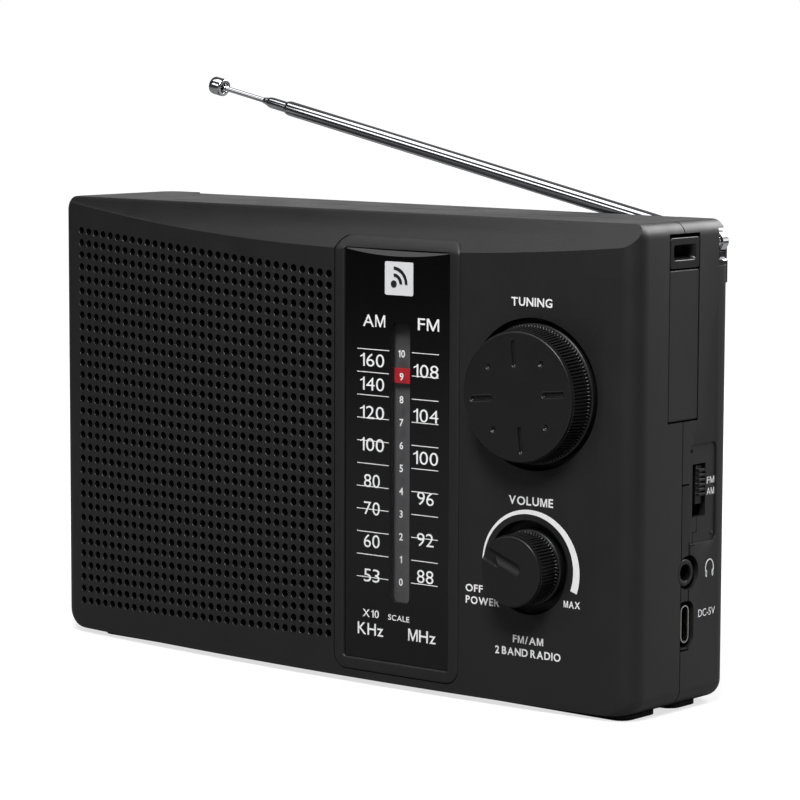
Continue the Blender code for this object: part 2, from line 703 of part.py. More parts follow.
def band_switch():
    """Ribbed slider in the dished recess and the switch body behind the wall."""
    front, back, low, high = SWITCH_SLOT
    side = WIDTH / 2
    clear = 0.35
    tab_low, tab_high = high - 0.5 - 9.1, high - 0.5
    slider = finish("band_switch_slider",
                    box(side - 6.0, side - 0.1, front + clear, back - clear, tab_low, tab_high), BLACK_ABS,
                    (side, (front + back) / 2, (tab_low + tab_high) / 2))
    cut(slider, *[box(side - 0.7, side + 1, front, back, tab_low + 1.0 + 1.9 * index, tab_low + 1.9 + 1.9 * index)
                  for index in range(4)])
    body = finish("band_switch_body", box(side - 11.5, side - WALL - 0.5, front - 2.2, back + 2.2, low - 4, high + 4),
                  STEEL)
    cut(body, box(side - 6.6, side, front - 0.1, back + 0.1, low - 0.6, high + 0.6))


# ---------------------------------------------------------------- right-hand side


def strap_lug():
    front, back, low, high = SIDE_CHANNEL
    side = WIDTH / 2
    lug = finish("strap_lug", prism("X", rounded(front + 0.4, back - 0.3, 102.7, high - 0.9, 0.6, 2), side - 6.0,
                                    side), BLACK_ABS)
    return cut(lug, box(side - 4.0, side + 1, 14.2, 21.7, 104.9, 107.8))


def side_panel():
    front, back, low, high = SIDE_CHANNEL
    side = WIDTH / 2
    outline = rounded(front + 0.35, back - 0.35, low + 0.35, 102.3, 1.0, 3)
    return finish("side_panel", prism("X", outline, side - 2.4, side - 0.2), BLACK_ABS)


def port_strip():
    """Filler between the shells with an inner flange, notched for the jack and the power socket."""
    side = WIDTH / 2
    outline = ((18.2, 14.7), (20.2, 14.7), (20.2, 16.0), (20.9, 16.0), (20.9, 52.7), (18.2, 52.7))
    strip = finish("port_strip", prism("X", outline, side - 2.6, side - 0.05), BLACK_ABS)
    add(strip, box(side - 4.0, side - WALL - GAP, 18.4, 26.0, 15.2, 39.0))
    wide, tall = USB_SIZE
    return cut(strip, rod((side - 6, JACK[0], JACK[1]), (1, 0, 0), 3.55, 10.0, 24),
               prism("X", rounded(USB[0] - wide, USB[0] + wide / 2 + 0.35, USB[1] - tall / 2 - 0.35,
                                  USB[1] + tall / 2 + 0.35, 1.9), side - 6, side + 3))


def headphone_jack():
    side = WIDTH / 2
    y, z = JACK
    body = box(side - 16.0, side - 4.6, y - 3.8, y + 3.8, z - 4.0, z + 4.0)
    jack = finish("headphone_jack", body, DARK)
    add(jack, rod((side - 5.5, y, z), (1, 0, 0), 3.2, 5.1, 24))
    return cut(jack, rod((side - 14.0, y, z), (1, 0, 0), 1.8, 16.0, 16))


def usb_socket():
    """Thin steel shell with rounded ends and the contact tongue inside."""
    side = WIDTH / 2
    y, z = USB
    wide, tall = USB_SIZE
    outline = rounded(y - wide / 2, y + wide / 2, z - tall / 2, z + tall / 2, wide / 2 - 0.01, 6)
    inner = rounded(y - wide / 2 + 0.32, y + wide / 2 - 0.32, z - tall / 2 + 0.32, z + tall / 2 - 0.32,
                    wide / 2 - 0.33, 6)
    socket = finish("usb_socket", prism("X", outline, side - 7.8, side - 0.4), STEEL)
    cut(socket, prism("X", inner, side - 6.4, side + 1))
    return add(socket, box(side - 7.0, side - 1.2, y - 0.35, y + 0.35, z - 3.3, z + 3.3))


# ---------------------------------------------------------------- board and electronics


def main_board():
    board = finish("main_board", box(3.5, 87.0, 12.2, 13.8, 13.5, 87.8), BOARD)
    spots = [(DRUM[0], DRUM[1], 3.4)]
    cut(board, *[rod((x, 10, z), (0, 1, 0), radius, 6.0, 16) for x, z, radius in spots])
    return board


def tuning_capacitor():
    x, z = DRUM
    body = finish("tuning_capacitor", box(x - 10, x + 10, 14.1, 25.5, z - 10, z + 10), CLEAR_PLASTIC)
    return cut(body, rod((x, 13, z), (0, 1, 0), 3.0, 7.0, 16))


def electronics():
    """The larger parts on the back of the board."""
    finish("if_can", box(66, 73.5, 14.1, 24.0, 60, 67.5), STEEL)
    finish("electrolytic_capacitor", rod((72, 14.1, 40), (0, 1, 0), 4.0, 12.0, 16, 0.5), DARK)
    finish("audio_chip", box(50, 69, 14.1, 17.6, 24, 30.5), DARK)


def ferrite_aerial():
    y, z = 24.0, 96.3
    finish("ferrite_rod", rod((2, y, z), (1, 0, 0), 4.0, 72.0, 16, 0.4), DARK)
    finish("ferrite_coil", pipe((0, y, z), (1, 0, 0), 5.4, 4.3, 44, 68, 20), COPPER)
    for name, x in (("ferrite_clip_left", 10.0), ("ferrite_clip_right", 34.0)):
        clip = finish(name, box(x, x + 5, 14.1, 30.0, 83.0, z + 1.0), DARK)
        cut(clip, rod((x - 2, y, z), (1, 0, 0), 4.3, 9.0, 16), box(x - 1, x + 6, 15.7, 40, 70, 89.6))


# ---------------------------------------------------------------- speaker


def speaker():
    x, z = SPEAKER
    base = (x, SPEAKER_Y, z)
    way = (0, 1, 0)
    finish("speaker_gasket", pipe(base, way, SPEAKER_R, 35.2, 0.0, 1.5, 32), FELT)
    profile = [(34.0, 1.8), (SPEAKER_R, 1.8), (SPEAKER_R, 2.7), (34.9, 2.8), (18.0, 15.0), (18.0, 16.2), (8.2, 16.2),
               (8.2, 15.0), (16.4, 14.6), (33.8, 2.6)]
    basket = finish("speaker_basket", turned(profile, base, way, 32, closed=True), STEEL)
    windows = []
    for index in range(4):
        angle = math.radians(45 + 90 * index)
        spoke = Vector((math.cos(angle), 0, math.sin(angle)))
        windows.append(rod(Vector(base) + spoke * 25.5 + Vector((0, 4, 0)), way, 5.5, 14.0, 10))
    cut(basket, *windows)
    finish("speaker_magnet", turned([(0, 16.5), (19.5, 16.5), (20.0, 17.0), (20.0, 25.0), (17, 27.5), (0, 27.5)],
                                    base, way, 32), DARK)
    cone = [(0.0, 6.4), (6.0, 7.6), (8.4, 9.8), (29.5, 1.8), (31.5, 0.9), (33.2, 1.9), (33.0, 2.6), (31.5, 1.7),
            (29.8, 2.6), (7.4, 11.0), (7.4, 15.6), (6.4, 15.6), (6.4, 10.0), (5.6, 8.3), (0.0, 7.2)]
    return finish("speaker_cone", turned(cone, base, way, 32), PAPER, base)


# ---------------------------------------------------------------- batteries


def batteries():
    """Two rows of two cells in line, with a spring plate at each negative end."""
    left, right, low, high = BAY
    y = BAY_Y + CELL_R + 0.35
    rows = (low + CELL_R + 0.35, high - CELL_R - 0.35)
    number = 0
    for z, tip, way in ((rows[0], right - 1.3, 1), (rows[1], left + 1.3, -1)):
        for place_in_row in range(2):
            number += 1
            profile = [(0.0, 0.0), (CELL_R - 0.4, 0.0), (CELL_R, 0.4), (CELL_R, CELL_LENGTH - 1.5),
                       (CELL_R - 0.6, CELL_LENGTH - 1.0), (2.7, CELL_LENGTH - 1.0), (2.7, CELL_LENGTH),
                       (0.0, CELL_LENGTH)]
            start = tip - way * (CELL_LENGTH + (CELL_LENGTH + GAP) * place_in_row)
            finish(f"battery_cell_{number}", turned(profile, (start, y, z), (way, 0, 0), 20), CELL)
    middle = (low + high) / 2
    spring = [(0.0, 0.0), (4.2, 0.0), (2.6, 5.5), (0.0, 5.5)]
    plates = (("battery_plate_left", left + 0.3, low + 2, high - 2, 1, rows[0]),
              ("battery_plate_upper", right - 1.0, middle + 1.0, high - 2, -1, rows[1]),
              ("battery_plate_lower", right - 1.0, low + 2, middle - 1.0, 0, 0))
    for name, x, bottom, top, way, row in plates:
        plate = finish(name, box(x, x + 0.7, BAY_Y + 1, BAY_Y + 13.5, bottom, top), STEEL)
        if way:
            add(plate, turned(spring, (x + 0.35, y, row), (way, 0, 0), 16))


# ---------------------------------------------------------------- antenna


def antenna():
    pivot = Vector(ANTENNA_PIVOT)
    way = Vector((-math.cos(ANTENNA_ANGLE), 0.0, math.sin(ANTENNA_ANGLE)))
    x, y, z = ANTENNA_PIVOT
    # fork: two ears on a cross-piece on a round post
    ear = arc((x, z), 2.8, 0, 180, 10) + [(x - 2.8, NOTCH_Z + 0.3), (x + 2.8, NOTCH_Z + 0.3)]
    fork = finish("antenna_swivel", prism("Y", ear, y - 2.6, y + 2.6), CHROME, (x, y, NOTCH_Z))
    cut(fork, box(x - 5, x + 5, y - 1.35, y + 1.35, z - 3.15, z + 5))
    cut(fork, rod((x, y - 4, z), (0, 1, 0), 1.2, 8.0, 12))
    add(fork, rod((x, y, NOTCH_Z - 4.4), (0, 0, 1), 2.55, 5.2, 16))
    finish("antenna_hinge_pin", rod((x, y - 2.9, z), (0, 1, 0), 0.85, 5.8, 12), STEEL)
    outer, inner = OUTER_TUBE
    tongue = arc((0.0, 0.0), 2.5, 90, 270, 8) + [(6.0, -1.5), (6.0, 1.5)]
    rings = []
    up = Vector((0, 1, 0)).cross(way)
    for level in (-1.05, 1.05):
        rings.append([pivot + way * along + up * aside + Vector((0, level, 0)) for along, aside in tongue])
    tube = finish("antenna_outer_tube", loft(rings), CHROME, pivot)
    add(tube, rod(pivot + way * 4.2, way, outer, OUTER_END - 4.2, 16))
    cut(tube, rod(pivot + way * 9.0, way, inner, OUTER_END, 16), rod((x, y - 4, z), (0, 1, 0), 1.2, 8.0, 12))
    start = 12.0
    outer, inner = SECOND_TUBE
    finish("antenna_second_tube", pipe(pivot, way, outer, inner, start, SECOND_END, 16), CHROME, pivot)
    outer, inner = THIRD_TUBE
    finish("antenna_third_tube", pipe(pivot, way, outer, inner, start + 2, THIRD_END, 16), CHROME, pivot)
    finish("antenna_rod", rod(pivot + way * (start + 18), way, ROD_R, CAP_START + 1.2 - start - 18, 12), CHROME, pivot)
    profile = [(0.0, 1.5), (ROD_R + GAP, 1.5), (ROD_R + GAP, 0.0), (CAP_R - 0.3, 0.0), (CAP_R, 0.3),
               (CAP_R, CAP_LENGTH - 0.3), (CAP_R - 0.3, CAP_LENGTH), (0.0, CAP_LENGTH)]
    finish("antenna_tip", turned(profile, pivot + way * CAP_START, way, 24), CHROME, pivot)
    bracket = finish("antenna_bracket", box(x - 9.5, x + 1.4, 24.0, SIDE_DEPTH - WALL - GAP, 98.6, 99.6), STEEL)
    return cut(bracket, rod((x, y, 96.0), (0, 0, 1), 2.85, 6.0, 16))


def cabinet_screws():
    for number, (x, z) in enumerate(SCREWS, 1):
        profile = [(0.0, 0.0), (1.25, 0.8), (1.25, 20.6), (2.6, 20.6), (2.6, 21.6), (2.0, 22.4), (0.0, 22.4)]
        finish(f"cabinet_screw_{number}", turned(profile, (x, SEAM_Y - 6.8, z), (0, 1, 0), 12), STEEL)


# ---------------------------------------------------------------- the whole radio

for old in list(bpy.data.objects):
    bpy.data.objects.remove(old, do_unlink=True)

TOOL = paint("tool", (0.8, 0.2, 0.8), 0.5)
BLACK_ABS = paint("black_abs", (0.018, 0.018, 0.019), 0.5)
KNOB = paint("knob_abs", (0.014, 0.014, 0.015), 0.42)
LENS = paint("gloss_lens", (0.006, 0.006, 0.007), 0.06)
SILVER = paint("silver_badge", (0.75, 0.75, 0.77), 0.35, 0.6)
SKID = paint("skid_rubber", (0.01, 0.01, 0.01), 0.8)
DARK = paint("dark_plastic", (0.02, 0.02, 0.022), 0.55)
RED = paint("pointer_red", (0.55, 0.01, 0.02), 0.4)
NYLON = paint("nylon", (0.75, 0.74, 0.7), 0.5)
CORD = paint("dial_cord", (0.5, 0.48, 0.42), 0.8)
STEEL = paint("plated_steel", (0.62, 0.62, 0.63), 0.3, 1.0)
CHROME = paint("chrome", (0.8, 0.8, 0.82), 0.08, 1.0)
BOARD = paint("board", (0.35, 0.2, 0.06), 0.6)
CLEAR_PLASTIC = paint("capacitor_case", (0.7, 0.72, 0.7), 0.3)
COPPER = paint("copper_wire", (0.7, 0.28, 0.1), 0.4, 1.0)
PAPER = paint("cone_paper", (0.04, 0.04, 0.045), 0.9)
FELT = paint("gasket_felt", (0.05, 0.05, 0.05), 0.95)
CELL = paint("cell_jacket", (0.1, 0.1, 0.12), 0.4)

front_cabinet()
rear_cabinet()
battery_door()
skid("front_skid", 2.0, 15.5, -80.0, 88.0)
skid("rear_skid", 20.5, 31.5, -80.0, 88.0)
dial_lens()
dial_badge()
dial_plate()
pointer_rail()
dial_pointer()
dial_cord()
pulley("upper_pulley", UPPER_PULLEY_Z)
pulley("lower_pulley", LOWER_PULLEY_Z)
tuning_drum()
cord_spring()
tuning_knob()
tuning_shaft()
volume_knob()
volume_shaft()
volume_pot()
band_switch()
strap_lug()
side_panel()
port_strip()
headphone_jack()
usb_socket()
main_board()
tuning_capacitor()
electronics()
ferrite_aerial()
speaker()
batteries()
antenna()
cabinet_screws()
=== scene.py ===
"""Looks of the tabletop two-band radio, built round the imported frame.

Design lengths are in millimetres: X to the right, Y to the back from the side walls' front corners, Z up from
the table. placed() turns them into the frame's metres.
"""
import math

import bmesh
import bpy
import numpy as np
from mathutils import Matrix, Vector
from mathutils.geometry import tessellate_polygon


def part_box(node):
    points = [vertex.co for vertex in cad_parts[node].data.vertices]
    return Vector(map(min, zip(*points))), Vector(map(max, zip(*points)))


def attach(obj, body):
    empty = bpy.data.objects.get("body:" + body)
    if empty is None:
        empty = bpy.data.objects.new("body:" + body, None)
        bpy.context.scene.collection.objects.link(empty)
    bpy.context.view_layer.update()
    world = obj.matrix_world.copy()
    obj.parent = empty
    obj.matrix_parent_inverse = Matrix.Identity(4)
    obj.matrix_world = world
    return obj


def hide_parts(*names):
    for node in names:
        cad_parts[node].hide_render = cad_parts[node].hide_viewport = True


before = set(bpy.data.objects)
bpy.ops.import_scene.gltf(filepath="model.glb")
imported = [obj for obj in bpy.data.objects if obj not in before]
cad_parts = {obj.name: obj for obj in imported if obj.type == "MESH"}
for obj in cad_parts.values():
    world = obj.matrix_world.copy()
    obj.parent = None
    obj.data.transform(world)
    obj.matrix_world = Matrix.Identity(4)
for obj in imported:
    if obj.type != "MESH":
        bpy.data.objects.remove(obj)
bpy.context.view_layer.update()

# ---------------------------------------------------------------- driving dimensions
MM = 0.001
TAU = math.tau

rear_low, rear_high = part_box("rear_cabinet")
WIDTH = (rear_high[0] - rear_low[0]) / MM
SIDE_INK = 0.03                                # the sides' print stands out to the full width
HALF = WIDTH / 2.0 - SIDE_INK
SIDE_DEPTH = 37.0
CENTRE_Y = SIDE_DEPTH - rear_high[1] / MM      # design Y of the frame's origin
FLOOR_Z = rear_low[2] / MM
TOP_Z = rear_high[2] / MM
BOW = 4.5                                      # how far the front's middle stands forward
WALL = 2.2
SEAM_Y = 17.9
SEAM_GAP = 0.3

FRONT_CORNER = 5.0
BACK_CORNER = 4.0
TOP_CORNER = 3.5
LOW_CORNER = 4.5

BROW_SKEW = 0.0164                             # the brow plane goes back this far for each unit to the right
BROW_LEAN = 0.797                              # and this far for each unit up
BROW_Y = -87.88                                # its Y at x = 0, z = 0
BROW_NORMAL = np.array([BROW_SKEW, -1.0, BROW_LEAN]) / math.sqrt(1 + BROW_SKEW ** 2 + BROW_LEAN ** 2)

HOLES = 32                                     # grille holes along each side
HOLE_PITCH = 2.838
HOLE_X = -83.94                                # first column
TOP_ROW = (104.51, -0.205)                     # its height at the first column, and the change per column
LOW_ROW = (8.53, 0.083)
HOLE_R = 0.93
HOLE_CHAMFER = 0.07
PANEL_WALL = 2.0

BEZEL = (5.9, 43.3, 3.6, 106.2)                # dial surround: left, right, bottom, top
POCKET = (8.9, 40.7, 6.3, 104.8)               # opening that the lens lies in
BEZEL_GROOVE = 0.16
BEZEL_BAND = 2.92                              # width of the surround's flat band
LENS_SINK = 0.45
FACET_DROP = 1.3                               # how far the lens's top facet reaches down in the middle
FACET_LEAN = 0.35
STRIP = (22.9, 28.8, 20.9, 87.5)               # smoked strip over the pointer
RAIL = (26.2, 3.6)                             # the pointer's rail
BADGE = (21.2, 29.7, 94.1, 102.0)
POINTER_Z = (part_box("dial_pointer")[0][2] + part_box("dial_pointer")[1][2]) / 2 / MM
MARK_LOW = 26.15                               # height of scale mark 0
MARK_STEP = 5.47

TUNING = (64.3, 73.5)
TUNING_WELL = 17.6
VOLUME = (63.4, 33.4)
VOLUME_WELL = 11.0
WELL_DEPTH = 3.2
WELLS = ((TUNING, TUNING_WELL), (VOLUME, VOLUME_WELL))

CHANNEL = (12.0, 23.9, 67.5, 110.6)            # strap channel on the right side: front, back, bottom, top
DISH = (20.9, 31.6, 38.9, 62.0)
DISH_DEPTH = 0.4
SLOT = (22.6, 27.8, 45.0, 57.3)
JACK = (20.3, 32.5)
USB = (20.2, 20.55)
USB_SIZE = (3.2, 8.94)

BAY = (-87.3, 20.6, 5.0, 35.0)
SCREWS = ((-77.7, 95.3), (80.5, 92.0), (-77.7, 41.9), (48.0, 8.6), (83.2, 8.6))

PIVOT = np.array([88.0, 36.2, 107.8])
RISE = math.radians(11.9)
ALONG = np.array([-math.cos(RISE), 0.0, math.sin(RISE)])
OUTER_END = 136.8
SECOND_END = 143.4
THIRD_END = 145.2
CAP_START = 159.7
SHELF = (-78.0, 79.0, 33.2, 103.6)             # antenna shelf: left, right, front, floor
NOTCH = (31.4, 102.5, 111.2)                   # antenna notch: front, floor, roof

# ---------------------------------------------------------------- meshes from arrays


CUT = "DIFFERENCE"
JOIN = "UNION"
WELD = 0.002                                   # vertices closer than this are one
CORNER_STEPS = 9                               # points along a cabinet corner
BOW_STEPS = 60                                 # and along its bowed front


def placed(points):
    """Design millimetres to the frame's metres."""
    moved = np.array(points, dtype=float).reshape(-1, 3)
    moved[:, 1] -= CENTRE_Y
    return moved * MM


def grid_faces(rows, columns, wrap_rows=False, wrap_columns=False, first=0):
    """Quads of a grid whose vertices run row by row; either direction may close on itself."""
    row = np.arange(rows if wrap_rows else rows - 1)
    column = np.arange(columns if wrap_columns else columns - 1)
    r, c = np.meshgrid(row, column, indexing="ij")
    r, c = r.ravel(), c.ravel()
    after_r, after_c = (r + 1) % rows, (c + 1) % columns
    quads = np.stack([r * columns + c, r * columns + after_c, after_r * columns + after_c,
                      after_r * columns + c], axis=1)
    return quads + first


def mesh_of(name, points, groups):
    """Mesh from design points and groups of polygons, each group an integer array of equal-sided faces."""
    groups = [np.asarray(group, dtype=np.int32) for group in groups if len(group)]
    loops = np.concatenate([group.ravel() for group in groups])
    sides = np.concatenate([np.full(len(group), group.shape[1], dtype=np.int32) for group in groups])
    starts = np.concatenate([[0], np.cumsum(sides)[:-1]]).astype(np.int32)
    mesh = bpy.data.meshes.new(name)
    metres = placed(points)
    mesh.vertices.add(len(metres))
    mesh.vertices.foreach_set("co", metres.astype(np.float32).ravel())
    mesh.loops.add(len(loops))
    mesh.loops.foreach_set("vertex_index", loops)
    mesh.polygons.add(len(sides))
    mesh.polygons.foreach_set("loop_start", starts)
    mesh.polygons.foreach_set("loop_total", sides)
    mesh.update(calc_edges=True)
    return mesh


def tidied(mesh):
    """Merge doubled vertices and point all faces outwards."""
    bm = bmesh.new()
    bm.from_mesh(mesh)
    bmesh.ops.remove_doubles(bm, verts=bm.verts, dist=WELD * MM)
    bmesh.ops.recalc_face_normals(bm, faces=bm.faces)
    bm.to_mesh(mesh)
    bm.free()
    return mesh


def solid(name, points, groups):
    """Linked helper object with a closed, outward mesh."""
    made = bpy.data.objects.new(name, tidied(mesh_of(name, points, groups)))
    bpy.context.scene.collection.objects.link(made)
    return made


def piece(made, material, body="cabinet", replaces=(), sharp=35.0):
    """Give a finished object its material and shading, and tell the frame what it is."""
    if isinstance(made, bpy.types.Mesh):
        made = bpy.data.objects.new(made.name, made)
        bpy.context.scene.collection.objects.link(made)
    made.data.materials.clear()
    made.data.materials.append(material)
    made.data.shade_smooth()
    made.data.set_sharp_from_angle(angle=math.radians(sharp))
    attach(made, body)
    if replaces:
        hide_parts(*replaces)
    return made


def face_arrays(made):
    """Face middles in design millimetres and face normals, as arrays."""
    count = len(made.data.polygons)
    middle, normal = np.empty(count * 3), np.empty(count * 3)
    made.data.polygons.foreach_get("center", middle)
    made.data.polygons.foreach_get("normal", normal)
    return middle.reshape(-1, 3) / MM + [0.0, CENTRE_Y, 0.0], normal.reshape(-1, 3)


def second_finish(made, material, chosen):
    """Give the faces picked by a true-or-false array a second material."""
    made.data.materials.append(material)
    made.data.polygons.foreach_set("material_index", chosen.astype(np.int32))
    return made


def carved(base, steps):
    """Apply Boolean steps, each (operation, helper object), and drop the helpers."""
    for operation, helper in steps:
        change = base.modifiers.new(operation, "BOOLEAN")
        change.operation = operation
        change.solver = "EXACT"
        change.object = helper
    bpy.context.view_layer.update()
    evaluated = base.evaluated_get(bpy.context.evaluated_depsgraph_get())
    result = bpy.data.meshes.new_from_object(evaluated)
    base.modifiers.clear()
    old = base.data
    base.data = result
    bpy.data.meshes.remove(old)
    for helper in {helper for _, helper in steps}:
        mesh = helper.data
        bpy.data.objects.remove(helper, do_unlink=True)
        bpy.data.meshes.remove(mesh)
    return base


def softened(made, chooses, width, segments=2):
    """Round the edges that chooses(middle in design mm, angle in degrees) picks."""
    bm = bmesh.new()
    bm.from_mesh(made.data)
    picked = []
    for edge in bm.edges:
        if len(edge.link_faces) != 2:
            continue
        angle = math.degrees(edge.calc_face_angle(0.0))
        middle = (edge.verts[0].co + edge.verts[1].co) / (2 * MM)
        if angle > 20.0 and chooses(middle.x, middle.y + CENTRE_Y, middle.z):
            picked.append(edge)
    if picked:
        bmesh.ops.bevel(bm, geom=picked, offset=width * MM, segments=segments, profile=0.5, affect="EDGES",
                        clamp_overlap=True)
    bm.to_mesh(made.data)
    bm.free()
    return made


# ---------------------------------------------------------------- outlines and basic surfaces


def arc_points(x, y, radius, start, stop, count):
    """Points of an arc, angles in degrees, both ends included."""
    angle = np.radians(np.linspace(start, stop, count + 1))
    return np.stack([x + radius * np.cos(angle), y + radius * np.sin(angle)], axis=1)


def rounded(left, right, low, high, radius, count=6, sides=1):
    """Rounded rectangle, anticlockwise from the lower right; sides splits each straight run."""
    corners = ((right - radius, low + radius, -90), (right - radius, high - radius, 0),
               (left + radius, high - radius, 90), (left + radius, low + radius, 180))
    runs = []
    for index, (x, y, start) in enumerate(corners):
        bend = arc_points(x, y, radius, start, start + 90, count)
        runs.append(bend)
        after_x, after_y, after_start = corners[(index + 1) % 4]
        angle = math.radians(after_start)
        target = np.array([after_x + radius * math.cos(angle), after_y + radius * math.sin(angle)])
        share = np.linspace(0, 1, sides + 1)[1:-1, None]
        runs.append(bend[-1] * (1 - share) + target * share)
    return np.concatenate(runs)


def loft(name, rings):
    """Closed solid through rings (levels x points x 3): quads between rings, one face over each end."""
    rings = np.asarray(rings)
    levels, count = rings.shape[:2]
    ends = [np.arange(count)[None, ::-1], (np.arange(count) + (levels - 1) * count)[None]]
    return solid(name, rings.reshape(-1, 3), [grid_faces(levels, count, wrap_columns=True), *ends])


def extruded(name, outline, axis, start, stop):
    """Prism: a 2-D outline carried from start to stop along X, Y or Z."""
    outline = np.asarray(outline)
    rings = []
    for level in (start, stop):
        flat = np.full(len(outline), float(level))
        columns = {"X": (flat, outline[:, 0], outline[:, 1]), "Y": (outline[:, 0], flat, outline[:, 1]),
                   "Z": (outline[:, 0], outline[:, 1], flat)}[axis]
        rings.append(np.stack(columns, axis=1))
    return loft(name, rings)


def block(name, left, right, front, back, low, high):
    return extruded(name, [(left, front), (right, front), (right, back), (left, back)], "Z", low, high)


def axes_for(direction):
    """Two unit vectors square to a direction, with it as a right-handed set."""
    way = np.asarray(direction, dtype=float)
    way = way / np.linalg.norm(way)
    guide = np.array([0.0, 0.0, 1.0]) if abs(way[2]) < 0.9 else np.array([1.0, 0.0, 0.0])
    across = np.cross(guide, way)
    across /= np.linalg.norm(across)
    return across, np.cross(way, across), way


def revolved(name, profile, base, direction, segments=96):
    """Surface of revolution: (radius, height) points turned about a line through base."""
    profile = np.asarray(profile, dtype=float)
    across, up, way = axes_for(direction)
    angle = np.linspace(0, TAU, segments, endpoint=False)
    ring = np.cos(angle)[:, None] * across + np.sin(angle)[:, None] * up
    points = base + profile[:, 0, None, None] * ring[None] + profile[:, 1, None, None] * way
    closed = bool(profile[0, 0] > 1e-6)
    return solid(name, points.reshape(-1, 3), [grid_faces(len(profile), segments, closed, True)])


def front_y(x):
    """The bowed front: a parabola through both side corners."""
    return -BOW * (1.0 - (np.asarray(x, dtype=float) / HALF) ** 2)


def brow_y(x, z):
    return BROW_Y + BROW_SKEW * np.asarray(x, dtype=float) + BROW_LEAN * np.asarray(z, dtype=float)


def face_y(x, z, proud=0.0):
    """The front and the brow together, moved outward by proud: whichever lies further back."""
    return np.maximum(front_y(x) - proud, brow_y(x, z) - proud / -BROW_NORMAL[1])


def outward(spot):
    """Unit normal of the bowed front at x."""
    slope = 2.0 * BOW * spot[0] / HALF ** 2
    return np.array([slope, -1.0, 0.0]) / math.hypot(slope, 1.0)


def on_front(spot, height=0.0):
    return np.array([spot[0], float(front_y(spot[0])), spot[1]]) + outward(spot) * height


def rounded_sheet(left, right, low, high, radius, columns, rows, front, back, name):
    """Slab over a rounded rectangle in X and Z: each row of the grid is drawn in at the corners, and
    front(x, z) and back(x, z) give its two faces."""
    bend = radius * (1 - np.cos(np.linspace(0, math.pi / 2, 7)))
    z = np.unique(np.round(np.concatenate([low + bend, np.linspace(low + radius, high - radius, rows),
                                           high - bend]), 6))
    edge = np.minimum(z - low, high - z).clip(0, radius)
    draw = radius - np.sqrt(np.maximum(radius ** 2 - (radius - edge) ** 2, 0.0))
    share = np.linspace(0, 1, columns)
    x = (left + draw)[:, None] + ((right - left) - 2 * draw)[:, None] * share[None]
    zz = np.repeat(z[:, None], columns, axis=1)
    count = x.size
    face = np.stack([x, front(x, zz), zz], axis=-1).reshape(-1, 3)
    rear = np.stack([x, back(x, zz), zz], axis=-1).reshape(-1, 3)
    height = len(z)
    index = np.arange(count).reshape(height, columns)
    rim = np.concatenate([index[0], index[1:, -1], index[-1, -2::-1], index[-2:0:-1, 0]])
    walls = np.stack([rim, np.roll(rim, -1), np.roll(rim, -1) + count, rim + count], axis=1)
    faces = [grid_faces(height, columns), grid_faces(height, columns, first=count)[:, ::-1], walls]
    return solid(name, np.concatenate([face, rear]), faces)


# ---------------------------------------------------------------- finishes


def linear(colour):
    """sRGB hex to linear RGBA."""
    parts = [int(colour[start:start + 2], 16) / 255 for start in (0, 2, 4)]
    return (*[part / 12.92 if part <= 0.04045 else ((part + 0.055) / 1.055) ** 2.4 for part in parts], 1.0)


def add(tree, kind, inputs=None, **settings):
    """Add a node: settings are its options, inputs maps a socket's name or number to a value or a link."""
    node = tree.nodes.new(kind)
    for key, value in settings.items():
        setattr(node, key, value)
    for key, value in (inputs or {}).items():
        if isinstance(value, bpy.types.NodeSocket):
            tree.links.new(value, node.inputs[key])
        else:
            node.inputs[key].default_value = value
    return node


def finish_of(name, **values):
    """Material whose Principled shader has these values, and object coordinates turned to millimetres."""
    material = bpy.data.materials.new(name)
    material.use_nodes = True
    tree = material.node_tree
    shader = tree.nodes["Principled BSDF"]
    for key, value in values.items():
        shader.inputs[key.replace("_", " ")].default_value = value
    where = add(tree, "ShaderNodeTexCoord").outputs["Object"]
    sized = add(tree, "ShaderNodeMapping", {"Vector": where, "Scale": (1 / MM, 1 / MM, 1 / MM)})
    return material, tree, shader, sized.outputs["Vector"]


def noise(tree, where, size, detail, **inputs):
    """Noise whose patches are about this many millimetres across."""
    values = {"Vector": where, "Scale": 1 / size, "Detail": detail, **inputs}
    return add(tree, "ShaderNodeTexNoise", values).outputs["Fac"]


def ranged(tree, value, low, high, start=0.0, stop=1.0):
    """Value taken from start..stop to low..high."""
    inputs = {"Value": value, "From Min": start, "From Max": stop, "To Min": low, "To Max": high}
    return add(tree, "ShaderNodeMapRange", inputs).outputs["Result"]


def mixed(tree, share, first, second):
    """Colour between two, each a hex code or a link."""
    first, second = (linear(part) if isinstance(part, str) else part for part in (first, second))
    return add(tree, "ShaderNodeMix", {0: share, 6: first, 7: second}, data_type="RGBA").outputs[2]


def worn(tree, shader, colour=None, rough=None, height=None, depth=0.0):
    """Link a colour, a roughness and a relief of this depth to the shader, where given."""
    if colour is not None:
        tree.links.new(colour, shader.inputs["Base Color"])
    if rough is not None:
        tree.links.new(rough, shader.inputs["Roughness"])
    if height is not None:
        relief = add(tree, "ShaderNodeBump", {"Height": height, "Distance": depth * MM})
        tree.links.new(relief.outputs["Normal"], shader.inputs["Normal"])


def abs_moulded(name, dark, light, rough, grain, depth):
    """ABS moulded in a spark-eroded tool: fine pits that break up the highlight, and faint clouds in the
    gloss."""
    material, tree, shader, where = finish_of(name, IOR=1.5)
    tint = mixed(tree, noise(tree, where, 22.0, 3.0), dark, light)
    gloss = ranged(tree, noise(tree, where, 9.0, 4.0), rough - 0.03, rough + 0.04, 0.3, 0.7)
    worn(tree, shader, tint, gloss, noise(tree, where, grain, 3.0, Roughness=0.6), depth)
    return material


